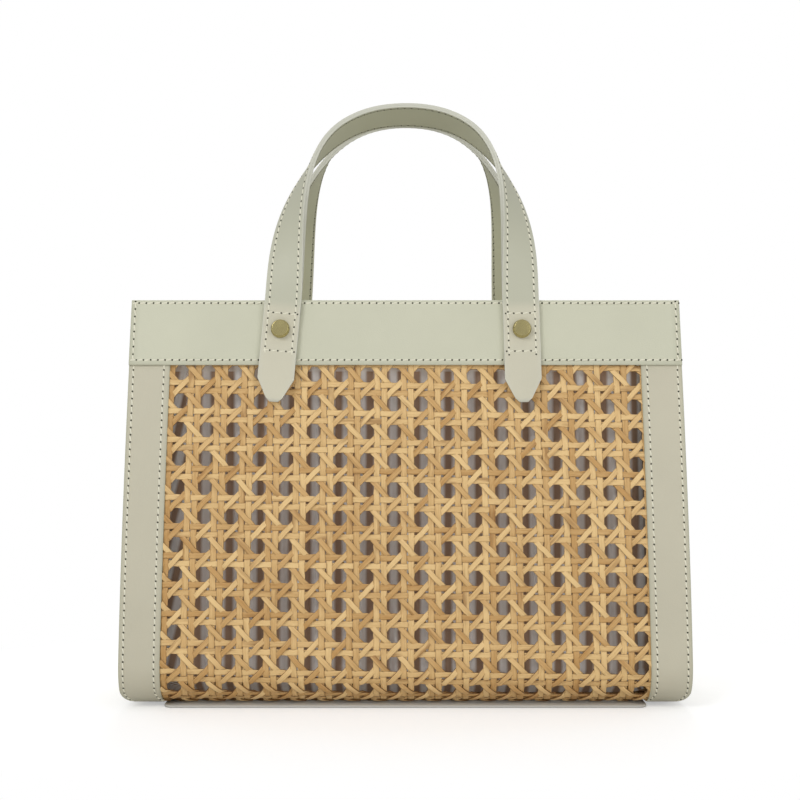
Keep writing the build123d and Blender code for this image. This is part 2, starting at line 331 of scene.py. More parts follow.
@dataclass(frozen=True)
class Cane(Finish):
    """Split cane.

    The attribute along is a place along a strand in metres, across is one over it from -1 to 1, and shade
    is the strand's own tone.
    """

    name: str = "split_cane"
    pale: Colour = srgb(237, 202, 142)
    deep: Colour = srgb(190, 144, 82)
    stain: Colour = srgb(140, 94, 46)
    # shadow is painted shade for the strands' edges
    shadow: Colour = srgb(112, 72, 30)

    def dress(self, graph: Graph, shader: bpy.types.Node) -> None:
        """Long fibres, a tone for each strand, darker stains along it, and painted shade along its edges.

        Args:
            graph: the material's graph.
            shader: its Principled node.
        """
        along = graph.attribute("along")
        across = graph.attribute("across")
        shade = graph.attribute("shade")
        streaks = graph.noise(graph.combine(along * 60, across * 4, shade * 90), 1.6, 4, 0.65)
        patches = graph.noise(graph.combine(along * 28, across * 0.4, shade * 140), 1.0, 3)
        tone = graph.clamp(shade * 0.9 + streaks * 1.5 + patches * 0.6 - 1.1, 0, 1)
        fibre = graph.blend(tone, self.pale, self.deep)
        stained = graph.blend(graph.clamp((patches - 0.6) * 5, 0, 0.55), fibre, self.stain)
        # painted shade: each strand is darkened along its edges
        edges = graph.clamp((graph.maths("ABSOLUTE", across) - 0.76) * 5, 0, 0.9)
        graph.feed(shader.inputs["Base Color"], graph.blend(edges, stained, self.shadow))
        graph.feed(shader.inputs["Roughness"], 0.38 + streaks * 0.2)
        shader.inputs["Specular IOR Level"].default_value = 0.45
        self.bump(graph, shader, streaks, 0.2 * MM, 0.9)


@dataclass(frozen=True)
class Metal(Finish):
    """Plated metal with a few dull spots."""

    name: str
    colour: Colour
    roughness: float = 0.24

    def dress(self, graph: Graph, shader: bpy.types.Node) -> None:
        """Metal whose gloss varies a little.

        Args:
            graph: the material's graph.
            shader: its Principled node.
        """
        place = graph.place()
        spots = graph.noise(place, 220, 2)
        graph.feed(shader.inputs["Base Color"], graph.blend(spots, toned(self.colour, 0.86), self.colour))
        shader.inputs["Metallic"].default_value = 1.0
        graph.feed(shader.inputs["Roughness"], self.roughness - 0.05 + spots * 0.12)


@dataclass(frozen=True)
class Thread(Finish):
    """Waxed sewing thread, or the painted shade of a needle hole."""

    name: str
    colour: Colour
    roughness: float = 0.6

    def dress(self, graph: Graph, shader: bpy.types.Node) -> None:
        """Twisted plies, as a fine slanting wave.

        Args:
            graph: the material's graph.
            shader: its Principled node.
        """
        place = graph.place()
        twist = graph.noise(place, 2600, 1)
        graph.feed(shader.inputs["Base Color"], graph.blend(twist, toned(self.colour, 0.85), self.colour))
        graph.feed(shader.inputs["Roughness"], self.roughness + twist * 0.1)
        self.bump(graph, shader, twist, 0.05 * MM, 0.5)


@dataclass(frozen=True)
class StripedCloth(Finish):
    """Thin woven cloth with a faint glow, painted light that stands in for light reaching it inside the
    bag.

    girth is the distance round the pouch and height is up it, both in metres.
    """

    name: str = "pouch_cloth"
    pale: Colour = srgb(230, 228, 226)
    # deep is painted shade on the pleats' shaded sides, and pale their painted light and the hem
    deep: Colour = srgb(164, 138, 118)
    # glow is painted light
    glow: float = 0.08
    stripe: float = 8.6 * MM
    hem: float = 179.5 * MM
    yarn: float = 0.5 * MM

    def dress(self, graph: Graph, shader: bpy.types.Node) -> None:
        """Upright stripes of painted light and shade for the pleats' lit and shaded sides, a lighter band
        at the top hem, and a fine weave.

        Args:
            graph: the material's graph.
            shader: its Principled node.
        """
        girth = graph.attribute("girth")
        height = graph.attribute("height")
        wander = graph.noise(graph.place(0.3), 40, 2) * 0.9
        # painted light and shade: stripes for the lit and shaded sides of the pleats
        wave = graph.maths("SINE", girth * (TURN / self.stripe) + wander)
        share = graph.clamp(wave * 0.9 + 0.5, 0, 1)
        pleat_shading = graph.blend(share, self.deep, self.pale)
        hem = graph.maths("GREATER_THAN", height, self.hem)
        woven = graph.blend(hem * 0.6, pleat_shading, self.pale)
        graph.feed(shader.inputs["Base Color"], woven)
        # painted light: the cloth glows faintly in its own colours
        graph.feed(shader.inputs["Emission Color"], woven)
        shader.inputs["Emission Strength"].default_value = self.glow
        warp = graph.maths("SINE", girth * (TURN / self.yarn))
        weft = graph.maths("SINE", height * (TURN / self.yarn))
        graph.feed(shader.inputs["Roughness"], 0.85 + wave * 0.03)
        shader.inputs["Specular IOR Level"].default_value = 0.2
        self.bump(graph, shader, warp * weft * 0.5 + 0.5, 0.06 * MM, 0.5)


TRIM = Leather("trim_leather", srgb(206, 206, 184), srgb(190, 190, 168))
SIDE = Leather("side_leather", srgb(200, 195, 174), srgb(186, 184, 162))
STRAP = Leather("strap_leather", srgb(207, 203, 182), srgb(206, 206, 192), 0.46, held=srgb(190, 190, 170))
# the strap's leather coloured darker: painted shade for the handle's shaded underside
SHADED_LINING = Leather("lining_leather", srgb(185, 185, 157), srgb(206, 206, 192), 0.6)
BASE = Leather("base_leather", srgb(204, 203, 197), srgb(198, 197, 191), 0.55)
BRASS = Metal("stud_brass", srgb(192, 180, 128))
STITCH = Thread("cream_thread", srgb(240, 237, 216))
DULL_STITCH = Thread("sage_thread", srgb(150, 150, 125))
# painted shade: the dark inside a needle hole
NEEDLE_HOLE_SHADE = Thread("needle_hole", srgb(62, 62, 44), 0.8)
CANE = Cane()
CLOTH = StripedCloth()


@dataclass(frozen=True)
class Wall:
    """The side line of a wall, and the bag's outline from the front."""

    depth: float = 120.0 * MM
    height: float = 224.7 * MM
    foot_half: float = 156.4 * MM
    top_half: float = 150.9 * MM
    corner: float = 9.0 * MM
    bend: float = 25.0 * MM
    band_bottom: float = 188.2 * MM
    lean: float = math.radians(8)
    base: float = 1.6 * MM
    strip: float = 1.2 * MM
    band: float = 1.5 * MM

    @property
    def face_y(self) -> float:
        """Y of the front cane's face where the wall is upright."""
        return -(self.depth / 2 - self.strip)

    @property
    def bend_radius(self) -> float:
        """Radius of the cane's face round the bottom edge."""
        return self.bend - self.strip

    @property
    def bend_z(self) -> float:
        """Height at which the bottom bend ends."""
        return self.base + self.bend

    @property
    def belly_radius(self) -> float:
        """Radius of the wall's slow curve up to the band."""
        return (self.band_bottom - self.bend_z) / math.sin(self.lean)

    @property
    def belly_length(self) -> float:
        """Length of the slow curve, and so the s of the band's lower edge."""
        return self.belly_radius * self.lean

    @property
    def bend_length(self) -> float:
        """Length of the bottom bend."""
        return self.bend_radius * math.pi / 2

    @property
    def lean_length(self) -> float:
        """Length of the straight top part, up to the top of the band."""
        top = self.height - (self.strip + self.band) * math.sin(self.lean)
        return (top - self.band_bottom) / math.cos(self.lean)

    @property
    def band_face(self) -> float:
        """How far the band's outer face lies outside the cane's."""
        return self.strip + self.band

    def half_width(self, z: float) -> float:
        """Half of the bag's width at a height."""
        return self.foot_half + (self.top_half - self.foot_half) * z / self.height

    def corner_cut(self, z: float) -> float:
        """How much the rounded lower corner takes off the half width at a height."""
        below = self.base + self.corner - z
        if below <= 0:
            return 0.0
        return self.corner - math.sqrt(max(self.corner**2 - min(below, self.corner) ** 2, 0))

    def side(self, s: float, h: float) -> tuple[float, float]:
        """(y, z) on the front wall, from the distance up it and the distance outside it.

        Args:
            s: the distance up the cane's face.
            h: the distance outside it.

        Returns:
            The place's y and z.
        """
        if s < 0:
            angle = min(-s / self.bend_radius, math.pi / 2)
            floor = max(-s - self.bend_length, 0)
            reach = self.bend_radius + h
            y = self.face_y + self.bend_radius - reach * math.cos(angle) + floor
            return y, self.bend_z - reach * math.sin(angle)
        angle = min(s / self.belly_radius, self.lean)
        more = max(s - self.belly_length, 0)
        reach = self.belly_radius + h
        y = self.face_y + self.belly_radius - reach * math.cos(angle) + more * math.sin(angle)
        return y, self.bend_z + reach * math.sin(angle) + more * math.cos(angle)

    def outward(self, s: float) -> Vector:
        """The front wall's outward direction."""
        here, out = self.side(s, 0), self.side(s, 1)
        return Vector((0, out[0] - here[0], out[1] - here[1]))

    def point(self, x: float, s: float, h: float) -> Vector:
        """A place on the front wall."""
        y, z = self.side(s, h)
        return Vector((x, y, z))


WALL = Wall()
SIDES = {-1: "left", 1: "right"}


class End(StrEnum):
    """The bag's two faces, which are alike."""

    FRONT = "front"
    BACK = "back"


def facing(end: End, place: Vector) -> Vector:
    """A place or direction of the front, or its mirror image for the back."""
    return place if end is End.FRONT else Vector((place.x, -place.y, place.z))


@dataclass
class Ring:
    """One closed loop of points round a piece.

    rims is how much each point belongs to a painted edge, and the last field how much darker the loop is
    coloured, on a handle above its fold.
    """

    points: list[Vector]
    rims: list[float]
    held: float = 0.0


@dataclass
class Section:
    """The cross-section of a flat strip: (across, height, rim) round it, with small rounded edges."""

    width: float
    low: float
    high: float
    radius: float = 0.45 * MM
    cuts: int = 6
    arc_steps: int = 3

    def outline(self) -> list[tuple[float, float, float]]:
        """The section's points, from its left edge over its outer face and back under.

        Returns:
            The points as (across, height, rim).
        """
        half = self.width / 2
        radius = min(self.radius, (self.high - self.low) / 2)
        near = half - radius
        inner = near - 2 * radius
        outer_face = [(-near, 1.0), (-inner, 0.25)]
        outer_face += [(-inner + 2 * inner * (i + 1) / (self.cuts + 1), 0.0) for i in range(self.cuts)]
        outer_face += [(inner, 0.25), (near, 1.0)]
        points = [(across, self.high, rim) for across, rim in outer_face]
        points += self.arc(near, self.high - radius, radius, 90)
        points += self.arc(near, self.low + radius, radius, 0)
        points += [(across, self.low, rim) for across, rim in reversed(outer_face)]
        points += self.arc(-near, self.low + radius, radius, -90)
        points += self.arc(-near, self.high - radius, radius, 180)
        return points

    def arc(self, x: float, y: float, radius: float, start: float) -> list[tuple[float, float, float]]:
        """The points of one rounded edge, turning a quarter clockwise, without its first.

        Args:
            x: across, of its centre.
            y: height of its centre.
            radius: its radius.
            start: the angle that it starts from, in degrees.

        Returns:
            The points as (across, height, rim).
        """
        turned = []
        for step in range(1, self.arc_steps + 1):
            angle = math.radians(start - 90 * step / self.arc_steps)
            turned.append((x + radius * math.cos(angle), y + radius * math.sin(angle), 1.0))
        return turned[:-1] if start in (0, 180) else turned


class Shell:
    """Collects points, faces and attributes, and makes a piece of them."""

    def __init__(self) -> None:
        """Starts empty."""
        self.points: list[Vector] = []
        self.faces: list[tuple[int, ...]] = []
        self.values: dict[str, list[float]] = {"rim": [], "held": []}

    def add(self, point: Vector, **values: float) -> int:
        """Adds a point with its attributes, and gives its number.

        Args:
            point: the place.
            values: the attributes that aren't 0.

        Returns:
            The point's number.
        """
        self.points.append(point)
        for name in set(self.values) | set(values):
            column = self.values.setdefault(name, [])
            column += [0.0] * (len(self.points) - 1 - len(column))
            column.append(values.get(name, 0.0))
        return len(self.points) - 1

    def sweep(self, rings: Sequence[Ring]) -> None:
        """Joins rings into a skin, and closes its two ends.

        Args:
            rings: the rings, with the same number of points each.
        """
        rows = []
        for ring in rings:
            rows.append([self.add(p, rim=r, held=ring.held) for p, r in zip(ring.points, ring.rims)])
        for first, second in zip(rows, rows[1:]):
            count = len(first)
            for i in range(count):
                j = (i + 1) % count
                self.faces.append((first[i], first[j], second[j], second[i]))
        self.faces.append(tuple(reversed(rows[0])))
        self.faces.append(tuple(rows[-1]))

    def piece(self, name: str, finish: Finish, outward: bool = True) -> bpy.types.Object:
        """Makes the object.

        Args:
            name: the piece's name.
            finish: its finish.
            outward: whether its faces are turned outwards.

        Returns:
            The new object, at the origin.
        """
        mesh = bpy.data.meshes.new(name)
        mesh.from_pydata([tuple(p) for p in self.points], [], self.faces)
        for attribute, values in self.values.items():
            layer = mesh.attributes.new(attribute, "FLOAT", "POINT")
            layer.data.foreach_set("value", values)
        if outward:
            shaped = bmesh.new()
            shaped.from_mesh(mesh)
            bmesh.ops.recalc_face_normals(shaped, faces=shaped.faces)
            shaped.to_mesh(mesh)
            shaped.free()
        mesh.shade_smooth()
        mesh.materials.append(finish.material())
        made = bpy.data.objects.new(name, mesh)
        bpy.context.scene.collection.objects.link(made)
        LOG.info("%s: %d faces", name, len(mesh.polygons))
        return made


def settle(piece: bpy.types.Object, body: str | None, slot: str, *nodes: str) -> None:
    """Attaches a piece to its body and hides the nodes that it stands for.

    Args:
        piece: the piece.
        body: its body, or None to leave it unattached.
        slot: its material slot; not used.
        nodes: the nodes that it replaces.
    """
    if body:
        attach(piece, body)
    if nodes:
        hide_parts(*nodes)


def spread(low: float, high: float, count: int) -> list[float]:
    """Evenly spaced values from low to high."""
    return [low + (high - low) * i / (count - 1) for i in range(count)]


class Tool:
    """A geometry node tree with named inputs, run on a piece and baked into its mesh."""

    def __init__(self, name: str, sockets: dict[str, str]) -> None:
        """Makes the tree's inputs and output.

        Args:
            name: the tree's name.
            sockets: the type of each input by its name, besides the geometry.
        """
        self.tree = bpy.data.node_groups.new(name, "GeometryNodeTree")
        interface = self.tree.interface
        interface.new_socket("Geometry", in_out="INPUT", socket_type="NodeSocketGeometry")
        for label, kind in sockets.items():
            interface.new_socket(label, in_out="INPUT", socket_type=kind)
        interface.new_socket("Geometry", in_out="OUTPUT", socket_type="NodeSocketGeometry")
        self.graph = Graph(self.tree)
        self.entry = self.graph.node("NodeGroupInput")
        self.exit = self.graph.node("NodeGroupOutput")

    def given(self, label: str) -> Wire:
        """One of the tree's inputs."""
        return Wire(self.graph, self.entry.outputs[label])

    def finish(self, geometry: Wire) -> None:
        """Links the result to the tree's output."""
        self.graph.feed(self.exit.inputs["Geometry"], geometry)

    def run(self, piece: bpy.types.Object, **values: object) -> bpy.types.Object:
        """Runs the tree on a piece and keeps the result as a plain mesh.

        Args:
            piece: the object that holds the guide lines.
            values: the inputs, with underscores for the spaces in their names.

        Returns:
            The same object, with its new mesh.
        """
        modifier = piece.modifiers.new(self.tree.name, "NODES")
        modifier.node_group = self.tree
        for item in self.tree.interface.items_tree:
            key = item.name.lower().replace(" ", "_")
            if item.in_out == "INPUT" and key in values:
                modifier[item.identifier] = values[key]
        depsgraph = bpy.context.evaluated_depsgraph_get()
        mesh = bpy.data.meshes.new_from_object(piece.evaluated_get(depsgraph), depsgraph=depsgraph)
        piece.modifiers.clear()
        guide = piece.data
        piece.data = mesh
        bpy.data.meshes.remove(guide)
        LOG.info("%s: %d faces", piece.name, len(mesh.polygons))
        return piece


class Run(Enum):
    """The four ways that the strands of the weave run."""

    UPRIGHT = "upright"
    LEVEL = "level"
    FALLING = "falling"
    RISING = "rising"


@dataclass
class CaneWeave:
    """The woven panels. A strand's guide line is flat: x counts columns and y counts rows down."""

    columns: int = 18
    rows: int = 15
    column_pitch: float = 14.95 * MM
    row_pitch: float = 15.75 * MM
    first_row: float = 164.7 * MM
    middle_x: float = 1.1 * MM
    column_pair: float = 3.95 * MM
    row_pair: float = 4.45 * MM
    upright_width: float = 3.4 * MM
    level_width: float = 3.2 * MM
    slanted_width: float = 2.9 * MM
    strand_thickness: float = 0.95 * MM
    middle: float = -0.45 * MM
    row_fall: float = math.tan(math.radians(0.8))
    slanted_step: float = 0.18
    straight_step: float = 0.125
    seeds: dict[End, int] = field(default_factory=lambda: {End.FRONT: 5, End.BACK: 50})
    tools: dict[Run, Tool] = field(default_factory=dict)

    def guide_lines(self, run: Run) -> list[tuple[Vector, Vector, float]]:
        """The start, end and turn of every strand of one run.

        Args:
            run: which way the strands run.

        Returns:
            The strands as (start, end, turn).
        """
        lines = []
        across = self.column_pair / 2 / self.column_pitch
        up = self.row_pair / 2 / self.row_pitch
        if run is Run.UPRIGHT:
            for column in range(self.columns + 1):
                for turn in (-1, 1):
                    x = column + turn * across
                    lines.append((Vector((x, 0, 0)), Vector((x, self.rows, 0)), float(turn)))
        elif run is Run.LEVEL:
            for row in range(self.rows + 1):
                for turn in (-1, 1):
                    y = row + turn * up
                    lines.append((Vector((-0.3, y, 0)), Vector((self.columns + 0.3, y, 0)), float(turn)))
        else:
            way = 1 if run is Run.FALLING else -1
            for start in range(-self.rows, self.columns + self.rows):
                begin = start + 0.5
                low, high = (max(0, -begin), min(self.rows, self.columns - begin))
                if way < 0:
                    low, high = (max(0, begin - self.columns), min(self.rows, begin))
                if high - low > 0.4:
                    first = Vector((begin + way * low, low, 0))
                    last = Vector((begin + way * high, high, 0))
                    lines.append((first, last, float(way)))
        return lines

    def wave(self, graph: Graph, run: Run, a: Wire, b: Wire, turn: Wire) -> Wire:
        """How far a strand rides over or under, in strand thicknesses.

        Args:
            graph: the tree's graph.
            run: which way the strand runs.
            a: the place, counted in columns.
            b: the place, counted in rows.
            turn: which of a pair it is, or which way it slants.

        Returns:
            The height.
        """
        if run in (Run.FALLING, Run.RISING):
            level = graph.clamp(graph.maths("COSINE", a * TURN) * 1.9, -1, 1)
            return graph.maths("SINE", level * (math.pi / 2)) * turn * 1.02
        along = b if run is Run.UPRIGHT else a
        ripple = graph.maths("SINE", along * (2 * TURN))
        near = (graph.maths("COSINE", along * TURN) + 1) * 0.5
        sign = 1.0 if run is Run.UPRIGHT else -1.0
        return ripple * near * turn * (0.56 * sign)

    def tool(self, run: Run) -> Tool:
        """The tree that turns one run's guide lines into strands on the wall.

        Args:
            run: which way the strands run.

        Returns:
            The tree, the same one each time.
        """
        if run in self.tools:
            return self.tools[run]
        tool = Tool(f"cane_{run.value}", {
            "Step": "NodeSocketFloat", "Width": "NodeSocketFloat", "Thickness": "NodeSocketFloat",
            "Side": "NodeSocketFloat", "Seed": "NodeSocketInt", "Material": "NodeSocketMaterial",
        })
        g = tool.graph
        lines = g.wire("GeometryNodeMeshToCurve", inputs={"Mesh": tool.given("Geometry")})
        lines = g.wire("GeometryNodeResampleCurve", {"mode": "LENGTH"},
                       {"Curve": lines, "Length": tool.given("Step")})
        shade = g.chance(0.0, 1.0, tool.given("Seed"))
        lines = self.keep(g, lines, "shade", shade, "CURVE")
        length = g.wire("GeometryNodeSplineParameter", output="Length")
        lines = self.keep(g, lines, "along", length * self.column_pitch, "POINT")
        width_change = g.chance(0.93, 1.07, tool.given("Seed"))
        lines = g.wire("GeometryNodeSetCurveRadius", inputs={"Curve": lines, "Radius": width_change})
        a, b, _ = g.split(g.wire("GeometryNodeInputPosition"))
        turn = g.wire("GeometryNodeInputNamedAttribute", {"data_type": "FLOAT"}, {"Name": "turn"})
        aside, down = self.wobble(g, shade, a, b)
        u = (a - self.columns / 2) * self.column_pitch + self.middle_x + aside
        v = self.first_row - b * self.row_pitch - u * self.row_fall + down
        height = self.wave(g, run, a, b, turn) * tool.given("Thickness") + self.middle
        flat = g.combine(u, v, height)
        lines = g.wire("GeometryNodeSetPosition", inputs={"Geometry": lines, "Position": flat})
        lines = g.wire("GeometryNodeSetCurveNormal", {"mode": "Z_UP"}, {"Curve": lines})
        profile = self.profile(g, tool)
        strands = g.wire("GeometryNodeCurveToMesh",
                         inputs={"Curve": lines, "Profile Curve": profile, "Fill Caps": True})
        strands = g.wire("GeometryNodeSetPosition",
                         inputs={"Geometry": strands, "Position": self.on_wall(g, tool)})
        flipped = g.wire("GeometryNodeFlipFaces", inputs={"Mesh": strands})
        back = g.wire("FunctionNodeCompare", {"operation": "LESS_THAN"},
                      {"A": tool.given("Side"), "B": 0.0})
        strands = g.wire("GeometryNodeSwitch", {"input_type": "GEOMETRY"},
                         {"Switch": back, "False": strands, "True": flipped})
        strands = g.wire("GeometryNodeSetShadeSmooth", inputs={"Geometry": strands})
        tool.finish(g.finished(strands, tool.given("Material")))
        self.tools[run] = tool
        return tool

    @staticmethod
    def keep(g: Graph, geometry: Wire, name: str, value: Wire, domain: str) -> Wire:
        """Stores a value on the geometry as a named attribute."""
        return g.wire("GeometryNodeStoreNamedAttribute", {"data_type": "FLOAT", "domain": domain},
                      {"Geometry": geometry, "Name": name, "Value": value})

    def wobble(self, g: Graph, shade: Wire, a: Wire, b: Wire) -> tuple[Wire, Wire]:
        """Small sideways shifts of a strand, as hand-laid cane has.

        Args:
            g: the tree's graph.
            shade: the strand's own tone.
            a: the place, counted in columns.
            b: the place, counted in rows.

        Returns:
            The shifts sideways and upwards.
        """
        shifts = []
        for offset in (3.0, 17.0):
            spot = g.combine(a * 0.7, b * 0.7, shade * 40 + offset)
            shifts.append((g.noise(spot, 1.0, 1) - 0.5) * (1.1 * MM))
        return shifts[0], shifts[1]

    def profile(self, g: Graph, tool: Tool) -> Wire:
        """The strand's section: flat below and gently rounded above.

        Args:
            g: the tree's graph.
            tool: the tree.

        Returns:
            The section, as a closed curve.
        """
        ring = g.wire("GeometryNodeCurvePrimitiveCircle", {"mode": "RADIUS"},
                      {"Resolution": 12, "Radius": 1.0})
        x, y, _ = g.split(g.wire("GeometryNodeInputPosition"))
        ring = self.keep(g, ring, "across", x, "POINT")
        squared = g.clamp(x * 1.25, -1, 1) * tool.given("Width") * 0.5
        domed = g.clamp(y * 0.9, -0.42, 0.55) * tool.given("Thickness")
        place = g.combine(squared, domed)
        return g.wire("GeometryNodeSetPosition", inputs={"Geometry": ring, "Position": place})

    def on_wall(self, g: Graph, tool: Tool) -> Wire:
        """Where a point of the flat weave lies on the wall, front or back.

        Args:
            g: the tree's graph.
            tool: the tree.

        Returns:
            The place.
        """
        u, s, h = g.split(g.wire("GeometryNodeInputPosition"))
        below = g.maths("MAXIMUM", s * -1, 0.0)
        above = g.maths("MAXIMUM", s, 0.0)
        under = g.maths("LESS_THAN", s, 0.0)
        bend_angle = g.maths("MINIMUM", below / WALL.bend_radius, math.pi / 2)
        floor = g.maths("MAXIMUM", below - WALL.bend_length, 0.0)
        bend_reach = h + WALL.bend_radius
        bend_y = floor - bend_reach * g.maths("COSINE", bend_angle) + (WALL.face_y + WALL.bend_radius)
        bend_z = WALL.bend_z - bend_reach * g.maths("SINE", bend_angle)
        angle = g.maths("MINIMUM", above / WALL.belly_radius, WALL.lean)
        more = g.maths("MAXIMUM", above - WALL.belly_length, 0.0)
        sine, cosine = g.maths("SINE", angle), g.maths("COSINE", angle)
        reach = h + WALL.belly_radius
        belly_y = more * sine - reach * cosine + (WALL.face_y + WALL.belly_radius)
        belly_z = more * cosine + reach * sine + WALL.bend_z
        y = belly_y + (bend_y - belly_y) * under
        z = belly_z + (bend_z - belly_z) * under
        taper = (WALL.top_half - WALL.foot_half) / WALL.height
        fan = (z * taper + WALL.foot_half) / WALL.half_width(WALL.bend_z)
        return g.combine(u * fan, y * tool.given("Side"), z)

    def build(self, end: End) -> None:
        """Weaves one panel and puts it in the CAD panel's place.

        Args:
            end: front or back.
        """
        for number, run in enumerate(Run):
            guides = bpy.data.meshes.new(f"{end}_{run.value}_guides")
            lines = self.guide_lines(run)
            points = [tuple(p) for line in lines for p in line[:2]]
            guides.from_pydata(points, [(2 * i, 2 * i + 1) for i in range(len(lines))], [])
            turns = guides.attributes.new("turn", "FLOAT", "POINT")
            turns.data.foreach_set("value", [line[2] for line in lines for _ in range(2)])
            piece = bpy.data.objects.new(f"{end}_cane_{run.value}", guides)
            bpy.context.scene.collection.objects.link(piece)
            slanted = run in (Run.FALLING, Run.RISING)
            straight = self.upright_width if run is Run.UPRIGHT else self.level_width
            self.tool(run).run(
                piece, step=self.slanted_step if slanted else self.straight_step,
                width=self.slanted_width if slanted else straight,
                thickness=self.strand_thickness, side=1.0 if end is End.FRONT else -1.0,
                seed=number + self.seeds[end], material=CANE.material(),
            )
            settle(piece, "bag", "cane", f"{end}_cane_panel")


